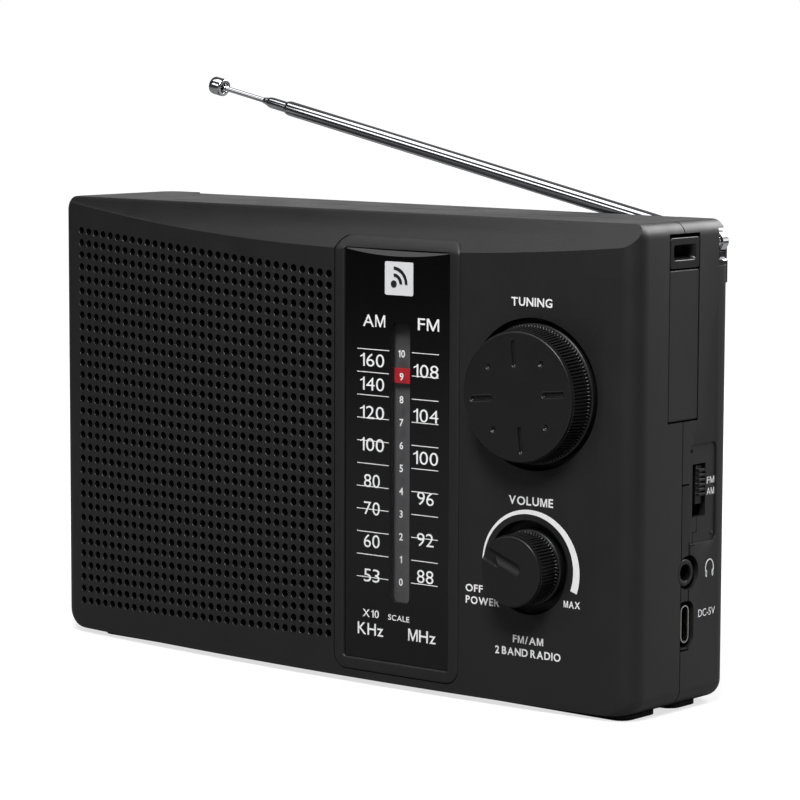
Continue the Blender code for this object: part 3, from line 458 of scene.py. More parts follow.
def acrylic_printed():
    """Acrylic printed black on its back: polished, almost mirror-like, with faint upright wipe marks."""
    material, tree, shader, where = finish_of("acrylic_back_printed_black", IOR=1.49)
    wipe = add(tree, "ShaderNodeMapping", {"Vector": where, "Scale": (1.0, 1.0, 0.08)}).outputs["Vector"]
    marks = noise(tree, wipe, 2.5, 4.0)
    worn(tree, shader, mixed(tree, marks, "040405", "070708"), ranged(tree, marks, 0.05, 0.12, 0.35, 0.75))
    return material


def acrylic_smoked():
    """Unprinted strip of the same acrylic: polished, smoky enough to dim what is behind it, with painted
    shade that leaves its tint lighter at the bottom end and darker towards the top."""
    material, tree, shader, where = finish_of("acrylic_smoked", IOR=1.49, Alpha=0.16)
    height = add(tree, "ShaderNodeSeparateXYZ", {"Vector": where}).outputs["Z"]
    # painted shade: the tint darkens from z 22 to z 84
    tint = mixed(tree, ranged(tree, height, 0.0, 1.0, 22.0, 84.0), "3a3a3c", "2a2a2c")
    worn(tree, shader, tint, ranged(tree, noise(tree, where, 6.0, 3.0), 0.06, 0.16))
    return material


def screen_ink(name, dark, light, rough):
    """Screen-printed ink: even colour with the slight mottle of the mesh, satin."""
    material, tree, shader, where = finish_of(name, IOR=1.5)
    mottle = noise(tree, where, 0.35, 2.0)
    worn(tree, shader, mixed(tree, mottle, dark, light), ranged(tree, mottle, rough + 0.08, rough))
    return material


def plated_metal(name, colour, rough, depth):
    """Plated metal: bright, with draw lines round the tube and cloudy handling marks in its gloss."""
    material, tree, shader, where = finish_of(name, Metallic=1.0, Base_Color=linear(colour))
    along = add(tree, "ShaderNodeMapping", {"Vector": where, "Scale": (0.04, 1.0, 1.0)}).outputs["Vector"]
    lines = noise(tree, along, 0.4, 3.0)
    worn(tree, shader, None, ranged(tree, lines, rough, rough * 1.5 + 0.02, 0.35, 0.7), lines, depth)
    return material


def small_part(name, first, second, rough, grain, depth, **values):
    """Small moulded or pressed part: a slight drift of colour, uneven gloss, and relief as coarse as
    grain."""
    material, tree, shader, where = finish_of(name, **values)
    drift = noise(tree, where, 5.0, 3.0)
    tint = mixed(tree, drift, first, second)
    worn(tree, shader, tint, ranged(tree, drift, rough, rough + 0.1), noise(tree, where, grain, 3.0), depth)
    return material


def scale_card():
    """Card painted satin grey, even below and darkened at its top end by painted shade, with a soft paper
    mottle.
    """
    material, tree, shader, where = finish_of("card_painted_grey", Roughness=0.6)
    height = add(tree, "ShaderNodeSeparateXYZ", {"Vector": where}).outputs["Z"]
    # painted shade: the card darkens above z 80 towards its top end
    tint = mixed(tree, ranged(tree, height, 0.0, 1.0, 88.5, 80.0), "1a1a1c", "6a6a6c")
    strength = ranged(tree, noise(tree, where, 3.0, 3.0), 0.0, 0.3)
    worn(tree, shader, mixed(tree, strength, tint, "5c5c5e"))
    return material


def banded(name, first, second, rough, spacing, depth, direction, **values):
    """Wound or braided surface: bands a fixed spacing apart, with painted shade darkening the grooves between
    them.
    """
    material, tree, shader, where = finish_of(name, Roughness=rough, **values)
    bands = add(tree, "ShaderNodeTexWave", {"Vector": where, "Scale": TAU / 20 / spacing},
                bands_direction=direction).outputs["Fac"]
    # the bands set the relief and also the colour, which is painted shade in the grooves
    worn(tree, shader, mixed(tree, bands, first, second), None, bands, depth)
    return material


ABS_CASE = abs_moulded("abs_spark_textured_black", "181819", "1c1c1d", 0.45, 0.5, 0.03)
ABS_KNOB = abs_moulded("abs_satin_black", "101011", "141415", 0.36, 0.6, 0.01)
# painted shade: a darker, duller black for the ribbed sides of the knobs
ABS_RIB_SHADE = abs_moulded("abs_ribs_black_painted_shade", "050506", "080809", 0.6, 0.5, 0.01)
ABS_SMOOTH = abs_moulded("abs_semi_gloss_black", "161617", "19191a", 0.3, 0.8, 0.006)
# painted shade: a darker black for the front shell's recesses and the insides of its walls, and for the seam
# lip
ABS_RECESS_SHADE = abs_moulded("abs_black_painted_recess_shade", "0c0c0d", "101011", 0.6, 0.5, 0.03)
LENS = acrylic_printed()
SMOKE = acrylic_smoked()
WHITE_INK = screen_ink("screen_ink_white", "e9e9e9", "fafafa", 0.42)
BADGE_INK = screen_ink("badge_enamel_silver", "d6d6d8", "e6e6e8", 0.28)
BLACK_INK = screen_ink("badge_ink_black", "161618", "1f1f21", 0.35)
CHROME = plated_metal("chrome_on_brass", "e4e5e8", 0.06, 0.0006)
STEEL = plated_metal("zinc_plated_steel", "b6b8ba", 0.26, 0.004)
NICKEL = plated_metal("nickel_plated_steel", "c9c7c2", 0.15, 0.002)
RED = small_part("polystyrene_signal_red", "e02230", "ee2c3a", 0.3, 0.5, 0.002, IOR=1.59)
RUBBER = small_part("rubber_matt_black", "101010", "181818", 0.72, 0.4, 0.03, IOR=1.52)
NYLON = small_part("nylon_natural", "cfcab8", "dcd8ca", 0.4, 0.6, 0.01, IOR=1.53)
PHENOLIC = small_part("phenolic_laminate_brown", "74481b", "8f5c28", 0.5, 0.7, 0.02, IOR=1.6)
CASE_CLEAR = small_part("polythene_case_milky", "c8cbc4", "dadcd6", 0.25, 0.8, 0.006, IOR=1.51)
DARK = small_part("abs_dark_moulding", "141415", "1b1b1d", 0.5, 0.5, 0.02, IOR=1.5)
FELT = small_part("felt_black", "111111", "222222", 0.88, 0.5, 0.15, IOR=1.4)
CELL = small_part("cell_sleeve_dark", "1c2430", "27323f", 0.28, 0.9, 0.004, Metallic=0.3)
PAPER = small_part("pressed_paper_cone", "17171a", "2b2b2e", 0.85, 0.4, 0.08, IOR=1.4)
# painted shade: near-black for the walls inside the grille holes and the headphone bore
HOLE_SHADE = small_part("abs_black_painted_hole_shade", "020202", "050505", 0.9, 0.4, 0.02, IOR=1.2)
GREY_CARD = scale_card()
WINDING = banded("enamelled_copper_winding", "6a2f14", "c06a35", 0.36, 0.35, 0.08, "X", Metallic=0.8)
BRAID = banded("waxed_braid", "a49c84", "d8d1bc", 0.65, 0.3, 0.04, "DIAGONAL")

SLOT_FINISH = {"black_abs": ABS_CASE, "knob_abs": ABS_KNOB, "gloss_lens": LENS, "silver_badge": BADGE_INK,
               "skid_rubber": RUBBER, "dark_plastic": DARK, "pointer_red": RED, "nylon": NYLON,
               "dial_cord": BRAID, "plated_steel": STEEL, "chrome": CHROME, "board": PHENOLIC,
               "capacitor_case": CASE_CLEAR, "copper_wire": WINDING, "cone_paper": PAPER,
               "gasket_felt": FELT, "cell_jacket": CELL}

# ---------------------------------------------------------------- cabinet shells


def corner_levels(inset):
    """Heights of the loft's rings and how far the sides draw in: quarter circles at the foot and the top."""
    angle = np.linspace(0, math.pi / 2, CORNER_STEPS)
    foot = LOW_CORNER - inset
    crown = TOP_CORNER - inset
    low = np.stack([FLOOR_Z + inset + foot * (1 - np.cos(angle)), foot * (1 - np.sin(angle))], axis=1)
    high = np.stack([TOP_Z - inset - crown * (1 - np.sin(angle)), crown * (1 - np.cos(angle))], axis=1)
    return np.concatenate([low, high])


def front_plan(inset, draw, back):
    """Plan of the front shell: left corner arc, the bow, right corner arc, then straight back to the seam."""
    half = HALF - inset - draw
    radius = max(FRONT_CORNER - inset, 0.5)
    turn = math.degrees(math.atan(4 * BOW / WIDTH * (1 - 2 * FRONT_CORNER / WIDTH)))
    reach = half - radius + radius * math.sin(math.radians(turn))
    level = float(front_y(reach)) + inset + radius * math.cos(math.radians(turn))
    x = np.linspace(-reach, reach, BOW_STEPS + 1)[1:-1]
    return np.concatenate([arc_points(-half + radius, level, radius, 180, 270 - turn, CORNER_STEPS),
                           np.stack([x, front_y(x) + inset], axis=1),
                           arc_points(half - radius, level, radius, -90 + turn, 0, CORNER_STEPS),
                           [[half, back], [-half, back]]])


def rear_plan(inset, draw, front):
    """Plan of the rear shell: straight sides from the seam and quarter-circle rear corners."""
    half = HALF - inset - draw
    back = SIDE_DEPTH - inset
    radius = BACK_CORNER - inset
    return np.concatenate([[[-half, front], [half, front]],
                           arc_points(half - radius, back - radius, radius, 0, 90, CORNER_STEPS),
                           arc_points(-half + radius, back - radius, radius, 90, 180, CORNER_STEPS)])


def risen(name, inset, plan):
    """Loft of a plan through the corner levels; plan(draw) gives the outline at each."""
    rings = []
    for level, draw in corner_levels(inset):
        outline = plan(draw)
        rings.append(np.column_stack([outline, np.full(len(outline), level)]))
    return loft(name, rings)


def sliced(made, sink):
    """Cut a solid off along the brow plane moved inward by sink, and close the cut."""
    bm = bmesh.new()
    bm.from_mesh(made.data)
    edge = placed([[0.0, BROW_Y, 0.0] - BROW_NORMAL * sink])[0]
    found = bmesh.ops.bisect_plane(bm, geom=bm.verts[:] + bm.edges[:] + bm.faces[:], plane_co=Vector(edge),
                                   plane_no=Vector(BROW_NORMAL), clear_outer=True)
    rim = [item for item in found["geom_cut"] if isinstance(item, bmesh.types.BMEdge)]
    if rim:
        bmesh.ops.contextual_create(bm, geom=rim)
    bmesh.ops.recalc_face_normals(bm, faces=bm.faces)
    bm.to_mesh(made.data)
    bm.free()
    return made


def front_solid(name, inset, back):
    return sliced(risen(name, inset, lambda draw: front_plan(inset, draw, back)), inset)


def rear_solid(name, inset, front):
    return risen(name, inset, lambda draw: rear_plan(inset, draw, front))


def face_prism(name, outline, front_sink, back_sink):
    """Prism along Y behind the front: an XZ outline between two depths under the bow at its middle."""
    middle = float(front_y(np.mean(np.asarray(outline)[:, 0])))
    return extruded(name, outline, "Y", middle + front_sink, middle + back_sink)


def drum(name, base, direction, steps, segments=128):
    """Stepped round tool: (radius, height) pairs turned about a line."""
    return revolved(name, [(0.0, steps[0][1]), *steps, (0.0, steps[-1][1])],
                    np.asarray(base, float), direction, segments)


def grille_z(column, share):
    """Height of a grille row, share 0..1 from the bottom row to the top one, at a column that may be
    fractional."""
    low = LOW_ROW[0] + LOW_ROW[1] * column
    high = TOP_ROW[0] + TOP_ROW[1] * column
    return low + (high - low) * share


GRILLE_LEFT = HOLE_X - HOLE_PITCH / 2
GRILLE_RIGHT = BEZEL[0] - 0.75


def grille_outline():
    columns = (np.array([GRILLE_LEFT, GRILLE_RIGHT]) - HOLE_X) / HOLE_PITCH
    low, high = -0.5 / (HOLES - 1), 1 + 0.5 / (HOLES - 1)
    return [(GRILLE_LEFT, grille_z(columns[0], low)), (GRILLE_RIGHT, grille_z(columns[1], low)),
            (GRILLE_RIGHT, grille_z(columns[1], high)), (GRILLE_LEFT, grille_z(columns[0], high))]


def ring_outline(box, grow, radius):
    left, right, low, high = box
    return rounded(left - grow, right + grow, low - grow, high + grow, radius + grow, 8)


def front_shell():
    """Bowed front shell: a hollow loft with the brow sliced off, wells for the knobs, the lens pocket, the
    grille's window and the notches on its right side."""
    shell = front_solid("front_shell", 0.0, SEAM_Y)
    steps = [(CUT, front_solid("hollow", WALL, SEAM_Y + 5.0))]
    ledge = sliced(face_prism("ledge", rounded(BEZEL[0] - 0.5, BEZEL[1] + 1.2, BEZEL[2] - 1.2, 107.6, 1.0),
                              0.7, 4.6), 0.9)
    steps.append((JOIN, ledge))
    for spot, radius in WELLS:
        way = -outward(spot)
        steps.append((JOIN, drum("cup", on_front(spot, -0.8), way,
                                 [(radius + 2, 0), (radius + 2, WELL_DEPTH + 1.2)], 64)))
    for x, z in SCREWS:
        steps.append((JOIN, drum("boss", (x, float(front_y(x)) + 1.0, z), (0, 1, 0),
                                 [(3.0, 0), (3.0, SEAM_Y - 1.3 - float(front_y(x)))], 24)))
    steps.append((CUT, extruded("window", grille_outline(), "Y", -9.0, 2.0)))
    frame_cut = face_prism("pocket", ring_outline(POCKET, BEZEL_BAND + BEZEL_GROOVE, 0.7), -5.0, 2.2)
    steps.append((CUT, frame_cut))
    steps.append((CUT, face_prism("opening", ring_outline(POCKET, -2.0, 3.0), 1.0, 9.0)))
    front, back, low, high = CHANNEL
    steps.append((CUT, block("channel", HALF - 7, HALF + 2, front, back, low, high)))
    steps.append((CUT, drum("jack_notch", (HALF - 4, *JACK), (1, 0, 0), [(3.55, 0), (3.55, 8)], 48)))
    for spot, radius in WELLS:
        floor = 4.0 + WELL_DEPTH
        steps.append((CUT, drum("well", on_front(spot, 4.0), -outward(spot),
                                [(radius, 0), (radius, floor - 0.5), (radius - 0.5, floor),
                                 (1.95, floor), (1.95, floor + 4)], 144)))
    carved(shell, steps)

    def on_rim(x, y, z):
        if y > 1.5 + float(front_y(x)) or y < float(front_y(x)) - 1:
            return False
        for spot, radius in WELLS:
            if abs(math.hypot(x - spot[0], z - spot[1]) - radius) < 0.2 and y < float(front_y(x)) + 0.3:
                return True
        return False

    softened(shell, on_rim, 0.3, 3)
    piece(shell, ABS_CASE, "cabinet", ["front_cabinet"], 30)
    # Faces more than a millimetre behind the front, in the wells, the pocket and inside the walls, take the
    # darker black as painted shade; faces near the sides, the floor and the top keep the case's black.
    centre, _ = face_arrays(shell)
    inner = centre[:, 1] > front_y(centre[:, 0]) + 1.0
    outer_wall = np.abs(centre[:, 0]) > HALF - WALL
    outer_wall |= (centre[:, 2] < FLOOR_Z + WALL) | (centre[:, 2] > 102.0)
    return second_finish(shell, ABS_RECESS_SHADE, inner & ~outer_wall)


def grille_panel():
    """Perforated panel. Each hole sits in a cell of the fanned array; eight pentagons join the cell's
    corners and mid-edges to sixteen points round the hole, then a chamfer and a bore lead to the same
    pattern on the back."""
    half_steps = 2 * HOLES
    place = np.arange(half_steps + 1)
    x_line = HOLE_X + HOLE_PITCH * (place - 1) / 2
    x_line[0], x_line[-1] = GRILLE_LEFT, GRILLE_RIGHT
    column = (x_line - HOLE_X) / HOLE_PITCH
    share = (place - 1) / 2 / (HOLES - 1)
    share[0], share[-1] = -0.5 / (HOLES - 1), 1 + 0.5 / (HOLES - 1)
    x = np.repeat(x_line[None], half_steps + 1, axis=0)
    z = grille_z(column[None], share[:, None])
    lattice = x.size
    front = np.stack([x, front_y(x), z], axis=-1).reshape(-1, 3)
    back = front + [0.0, PANEL_WALL, 0.0]
    angle = TAU * np.arange(16) / 16 - 0.75 * math.pi
    row, col = np.meshgrid(np.arange(HOLES), np.arange(HOLES), indexing="ij")
    row, col = row.ravel(), col.ravel()
    centre_x = HOLE_X + HOLE_PITCH * col
    centre_z = grille_z(col, row / (HOLES - 1))
    rings = []
    for radius, depth in ((HOLE_R + HOLE_CHAMFER, 0.0), (HOLE_R, HOLE_CHAMFER), (HOLE_R, PANEL_WALL)):
        ring_x = centre_x[:, None] + radius * np.cos(angle)
        ring_z = centre_z[:, None] + radius * np.sin(angle)
        rings.append(np.stack([ring_x, front_y(ring_x) + depth, ring_z], axis=-1).reshape(-1, 3))
    points = np.concatenate([front, back, *rings])
    cells = HOLES * HOLES
    around = np.array([(0, 0), (0, 1), (0, 2), (1, 2), (2, 2), (2, 1), (2, 0), (1, 0)])
    corner = (2 * row[:, None] + around[:, 0]) * (half_steps + 1) + 2 * col[:, None] + around[:, 1]
    first = 2 * lattice + 16 * np.arange(cells)[:, None]
    side = np.arange(8)
    groups = []
    for lift, ring, flip in ((0, 0, False), (lattice, 2, True)):
        rim = first + ring * 16 * cells
        faces = np.stack([corner[:, side] + lift, corner[:, (side + 1) % 8] + lift, rim + (2 * side + 2) % 16,
                          rim + 2 * side + 1, rim + 2 * side], axis=-1).reshape(-1, 5)
        groups.append(faces[:, ::-1] if flip else faces)
    step = np.arange(16)
    for ring in (0, 1):
        outer = first + ring * 16 * cells
        inner = outer + 16 * cells
        groups.append(np.stack([outer + step, outer + (step + 1) % 16, inner + (step + 1) % 16, inner + step],
                               axis=-1).reshape(-1, 4))
    index = np.arange(lattice).reshape(half_steps + 1, half_steps + 1)
    rim = np.concatenate([index[0, :-1], index[:-1, -1], index[-1, :0:-1], index[:0:-1, 0]])
    groups.append(np.stack([rim, rim + lattice, np.roll(rim, -1) + lattice, np.roll(rim, -1)], axis=-1))
    used = np.unique(np.concatenate([group.ravel() for group in groups]))
    renumber = np.zeros(len(points), dtype=int)
    renumber[used] = np.arange(len(used))
    made = solid("grille_panel", points[used], [renumber[group] for group in groups])
    piece(made, ABS_CASE, "cabinet", ["front_cabinet"], 30)
    # the walls of the holes take near-black as painted shade inside them
    _, normal = face_arrays(made)
    return second_finish(made, HOLE_SHADE, np.abs(normal[:, 1]) < 0.3)


def swept_frame(name, box, radius, profile):
    """Closed profile of (distance outward from the opening, height over the face) carried round a rounded
    rectangle; every point takes its Y from the bow or the brow, whichever lies further back."""
    left, right, low, high = box
    path = rounded(left, right, low, high, radius, 8, 48)
    ahead = np.roll(path, -1, axis=0) - np.roll(path, 1, axis=0)
    normal = np.stack([ahead[:, 1], -ahead[:, 0]], axis=1) / np.linalg.norm(ahead, axis=1)[:, None]
    profile = np.asarray(profile, float)
    flat = path[:, None] + normal[:, None] * profile[None, :, :1]
    y = face_y(flat[..., 0], flat[..., 1], profile[None, :, 1])
    points = np.stack([flat[..., 0], y, flat[..., 1]], axis=-1)
    return solid(name, points.reshape(-1, 3), [grid_faces(len(path), len(profile), True, True)])


def dial_frame():
    """Surround of the lens: a low flat band with soft edges between a hairline groove and the lens."""
    profile = [(0.0, -2.15), (0.0, -0.15), (0.12, 0.04), (0.3, 0.12), (0.55, 0.16), (1.4, 0.18), (2.3, 0.16),
               (2.65, 0.1), (2.85, -0.02), (BEZEL_BAND, -0.2), (BEZEL_BAND, -2.15)]
    made = swept_frame("dial_frame", POCKET, 0.7, profile)
    return piece(made, ABS_CASE, "cabinet", ["front_cabinet"], 40)


def power_outline():
    """Well round the power socket, longer towards the back."""
    wide, tall = USB_SIZE
    return rounded(USB[0] - wide, USB[0] + wide / 2 + 1.4, USB[1] - tall / 2 - 0.9, USB[1] + tall / 2 + 0.9,
                   2.3, 10)


def rear_shell():
    """Rear shell: a hollow loft with the antenna shelf and notch, battery bay, sockets' wells and screw
    holes."""
    shell = rear_solid("rear_shell", 0.0, SEAM_Y + SEAM_GAP)
    steps = [(CUT, rear_solid("hollow", WALL, SEAM_Y - 5.0))]
    left, right, low, high = BAY
    bay_front = 20.4
    steps.append((JOIN, block("bay_walls", left - 1.6, right + 1.6, bay_front - 1.6, SIDE_DEPTH - 1,
                              low - 1.8, high + 1.8)))
    shelf_left, shelf_right, shelf_y, shelf_z = SHELF
    notch_y, notch_z, roof_z = NOTCH
    steps.append((JOIN, block("shelf_walls", -80, shelf_right, shelf_y - 2, SIDE_DEPTH - 1, shelf_z - 2,
                              TOP_Z - 1)))
    steps.append((JOIN, block("notch_walls", shelf_right - 1, HALF - 1, notch_y - 2, SIDE_DEPTH - 1.5,
                              notch_z - 2, TOP_Z - 1.2)))
    for x, z in SCREWS:
        steps.append((JOIN, drum("boss", (x, SEAM_Y + SEAM_GAP, z), (0, 1, 0),
                                 [(3.4, 0), (3.4, SIDE_DEPTH - 1.2 - SEAM_Y)], 24)))
    steps.append((CUT, block("bay", left, right, bay_front, SIDE_DEPTH + 3, low, high)))
    steps.append((CUT,
                  extruded("rebate", ring_outline(BAY, 1.2, 1.6), "Y", SIDE_DEPTH - 1.7, SIDE_DEPTH + 3)))
    steps.append((CUT, block("shelf", shelf_left, shelf_right, shelf_y, SIDE_DEPTH + 3, shelf_z, TOP_Z + 3)))
    steps.append((CUT, block("notch", shelf_right - 0.5, HALF + 3, notch_y, SIDE_DEPTH + 3, notch_z, roof_z)))
    steps.append((CUT, block("roof_gap", shelf_right - 0.5, HALF + 3, PIVOT[1] - 2.4, SIDE_DEPTH + 3,
                             roof_z - 0.5, TOP_Z + 3)))
    steps.append((CUT, drum("post_hole", (PIVOT[0], PIVOT[1], notch_z - 6), (0, 0, 1), [(2.95, 0), (2.95, 8)],
                            48)))
    front, back, low, high = CHANNEL
    steps.append((CUT, block("channel", HALF - 7, HALF + 2, front, back, low, high)))
    front, back, low, high = DISH
    steps.append((CUT, extruded("dish", rounded(front, back, low, high, 1.6, 8), "X", HALF - DISH_DEPTH,
                                HALF + 3)))
    steps.append((CUT,
                  drum("jack_well", (HALF - 4, JACK[0] + 0.5, JACK[1]), (1, 0, 0), [(4.1, 0), (4.1, 8)], 64)))
    steps.append((CUT, extruded("power_well", power_outline(), "X", HALF - 4, HALF + 3)))
    front, back, low, high = SLOT
    steps.append((CUT, block("slot", HALF - 4, HALF + 1, front, back, low, high)))
    steps.append((CUT, block("port_gap", HALF - 5, HALF + 4, 10, 21.3, 14.3, 53.1)))
    for x, z in SCREWS:
        steps.append((CUT, drum("screw_hole", (x, SEAM_Y - 1, z), (0, 1, 0),
                                [(1.7, 0), (1.7, 14.5), (3.0, 14.5), (3.0, 22)], 32)))
    seam = [(24.4, 45.2), (24.4, 41.5), (22.9, 41.5), (22.9, 38.6), (21.5, 38.6), (21.5, 36.4)]
    for (y, z), (after_y, after_z) in zip(seam, seam[1:]):
        steps.append((CUT,
                      block("seam_run", HALF - 1.0, HALF + 1, min(y, after_y) - 0.1, max(y, after_y) + 0.1,
                            min(z, after_z) - 0.1, max(z, after_z) + 0.1)))
    steps.append((CUT, drum("gate_mark", (HALF - DISH_DEPTH - 0.3, 22.2, 60.4), (1, 0, 0),
                            [(0.4, 0), (0.4, 2)], 24)))
    steps.append((JOIN, revolved("peg", [(0.0, 0.0), (0.5, 0.0), (0.5, 1.3), (0.3, 1.45), (0.0, 1.5)],
                                 np.array([HALF - DISH_DEPTH - 1.2, 30.4, 40.6]), (1, 0, 0), 24)))
    carved(shell, steps)

    def on_dish(x, y, z):
        inside = DISH[0] - 0.1 < y < DISH[1] + 0.1 and DISH[2] - 0.1 < z < DISH[3] + 0.1
        near = min(abs(y - DISH[0]), abs(y - DISH[1]), abs(z - DISH[2]), abs(z - DISH[3])) < 0.9
        return inside and near and x > HALF - 0.05 and y > 21.5

    softened(shell, on_dish, 0.15, 2)
    return piece(shell, ABS_CASE, "cabinet", ["rear_cabinet"], 30)


def seam_lip():
    """Rib ring that fills the seam between the shells up to a shallow groove, interrupted where the strap
    channel and the sockets are."""
    groove, thick = 0.6, 2.8
    reach, low, high = HALF - groove, FLOOR_Z + groove, TOP_Z - groove
    outer = rounded(-reach, reach, low, high, 3.4, 8)
    inner = rounded(-reach + thick, reach - thick, low + thick, high - thick, 1.0, 8)
    front, back = SEAM_Y + 0.02, SEAM_Y + SEAM_GAP - 0.02
    rings = [np.column_stack([outline[:, 0], np.full(len(outline), y), outline[:, 1]])
             for outline, y in ((outer, front), (outer, back), (inner, back), (inner, front))]
    ring = solid("seam_lip", np.concatenate(rings), [grid_faces(4, len(outer), True, True)])
    carved(ring, [(CUT, block("channel", HALF - 8, HALF + 1, 10, 26, 66.4, 120)),
                  (CUT, block("sockets", HALF - 8, HALF + 1, 10, 26, 13.6, 54.0))])
    # the lip takes the darker black as painted shade in the seam
    return piece(ring, ABS_RECESS_SHADE, "cabinet")


# ---------------------------------------------------------------- dial


def slab(name, box, radius, front, back, columns=24, rows=40):
    left, right, low, high = box
    return rounded_sheet(left, right, low, high, radius, columns, rows, front, back, name)


def dial_lens():
    """Glossy scale lens. Its rows run up the sunk bow to a line that dips in the middle, and from there the
    top leans back as a crescent facet. An upright slot takes the smoked strip."""
    left, right, low, high = POCKET
    clear, radius, columns, wall = 0.14, 0.7, 45, 1.45
    left, right, low, high = left + clear, right - clear, low + clear, high - clear
    x = np.linspace(left, right, columns)
    across = (2 * x - left - right) / (right - left)
    crease = high - 0.12 - FACET_DROP * (1 - across ** 2)
    bend = radius * (1 - np.cos(np.linspace(0, math.pi / 2, 6)))
    share = np.concatenate([bend / (high - low), np.linspace(radius / (high - low), 1.0, 70)[1:]])
    draw = radius - np.sqrt(np.maximum(radius ** 2 - np.maximum(radius - share * (high - low), 0.0) ** 2,
                                       0.0))
    z = low + (crease - low)[None] * share[:, None]
    top = crease[None] + (high - crease)[None] * np.linspace(0, 1, 5)[1:, None]
    z = np.concatenate([z, top])
    draw = np.concatenate([draw, np.zeros(4)])[:, None]
    xx = x[None] - across[None] * draw
    lean = np.maximum(z - crease[None], 0.0) * FACET_LEAN
    front = np.stack([xx, front_y(xx) + LENS_SINK + lean, z], axis=-1).reshape(-1, 3)
    back = np.stack([xx, front_y(xx) + LENS_SINK + wall + lean * 0.2, z], axis=-1).reshape(-1, 3)
    rows = len(z)
    index = np.arange(rows * columns).reshape(rows, columns)
    rim = np.concatenate([index[0, :-1], index[:-1, -1], index[-1, :0:-1], index[:0:-1, 0]])
    walls = np.stack([rim, np.roll(rim, -1), np.roll(rim, -1) + rows * columns, rim + rows * columns], axis=1)
    made = solid("lens_plate", np.concatenate([front, back]),
                 [grid_faces(rows, columns), grid_faces(rows, columns, first=rows * columns)[:, ::-1], walls])
    slot = face_prism("strip_slot", rounded(*STRIP, 1.4, 8), -3.0, 5.0)
    carved(made, [(CUT, slot)])
    return piece(made, LENS, "cabinet", ["dial_lens"], 14)


def scale_strip():
    """Smoked strip flush in the lens: the pointer shows through it."""
    left, right, low, high = STRIP
    made = slab("scale_strip", (left + 0.03, right - 0.03, low + 0.03, high - 0.03), 1.4,
                lambda x, z: front_y(x) + LENS_SINK + 0.06, lambda x, z: front_y(x) + LENS_SINK + 0.8, 8, 30)
    return piece(made, SMOKE, "cabinet", ["dial_lens"], 30)


def scale_backing():
    """Grey card behind the strip, on two feet that stand on the dial plate."""
    left, right, low, high = STRIP
    card = block("scale_backing", left - 2.2, right - 1.3, -1.2, -0.7, low - 3.0, high + 2.6)
    feet = [(JOIN, block("foot", left + 1.2, right - 1.5, -0.9, 0.88, z, z + 2.0))
            for z in (low - 2.9, high + 0.5)]
    carved(card, feet)
    return piece(card, GREY_CARD, "cabinet")


def pointer():
    """Pointer: a red flag close behind the strip, an arm that passes the grey card's edge, and its rail
    sleeve."""
    flag = extruded("pointer_flag", rounded(23.1, 28.7, POINTER_Z - 1.75, POINTER_Z + 1.75, 0.25, 4), "Y",
                    -2.5, -1.5)
    arm = block("arm", 27.9, 28.6, -1.6, 3.0, POINTER_Z - 1.2, POINTER_Z + 1.2)
    bridge = block("bridge", 26.0, 28.4, 1.5, 2.9, POINTER_Z - 1.19, POINTER_Z + 1.19)
    sleeve = drum("sleeve", (*RAIL, POINTER_Z - 2.4), (0, 0, 1), [(1.7, 0), (1.7, 4.8)], 32)
    hole = drum("hole", (*RAIL, POINTER_Z - 4.4), (0, 0, 1), [(0.95, 0), (0.95, 8.8)], 32)
    carved(flag, [(JOIN, arm), (JOIN, bridge), (JOIN, sleeve), (CUT, hole)])
    return piece(flag, RED, "pointer", ["dial_pointer"])


def badge():
    """Silver badge with a generic mark: a round source and two waves."""
    made = slab("badge_plate", BADGE, 0.45, lambda x, z: front_y(x) + LENS_SINK - 0.1,
                lambda x, z: front_y(x) + LENS_SINK + 0.35, 8, 10)
    piece(made, BADGE_INK, "cabinet", ["dial_badge"], 30)
    centre = ((BADGE[0] + BADGE[1]) / 2 - 1.5, (BADGE[2] + BADGE[3]) / 2 - 1.3)
    parts = [arc_band(centre, 0.0, 0.85, 0, 360), arc_band(centre, 1.75, 2.5, 0, 90),
             arc_band(centre, 3.35, 4.1, 0, 90)]
    printed("badge_mark", parts, lens_surface, 0.13, BLACK_INK)


# ---------------------------------------------------------------- print


def arc_band(centre, inner, outer, start, stop, count=48):
    """Flat band between two radii; its outer radius may be a pair that grows from start to stop."""
    angle = np.radians(np.linspace(start, stop, count + 1))
    grown = np.linspace(*outer, count + 1) if isinstance(outer, tuple) else np.full(count + 1, float(outer))
    ring = [np.stack([centre[0] + radius * np.cos(angle), centre[1] + radius * np.sin(angle)], axis=1)
            for radius in (np.full(count + 1, float(inner)), grown)]
    return np.concatenate(ring), grid_faces(2, count + 1)


def bar(left, right, low, high):
    return np.array([(left, low), (right, low), (right, high), (left, high)], float), np.array([[0, 1, 2, 3]])


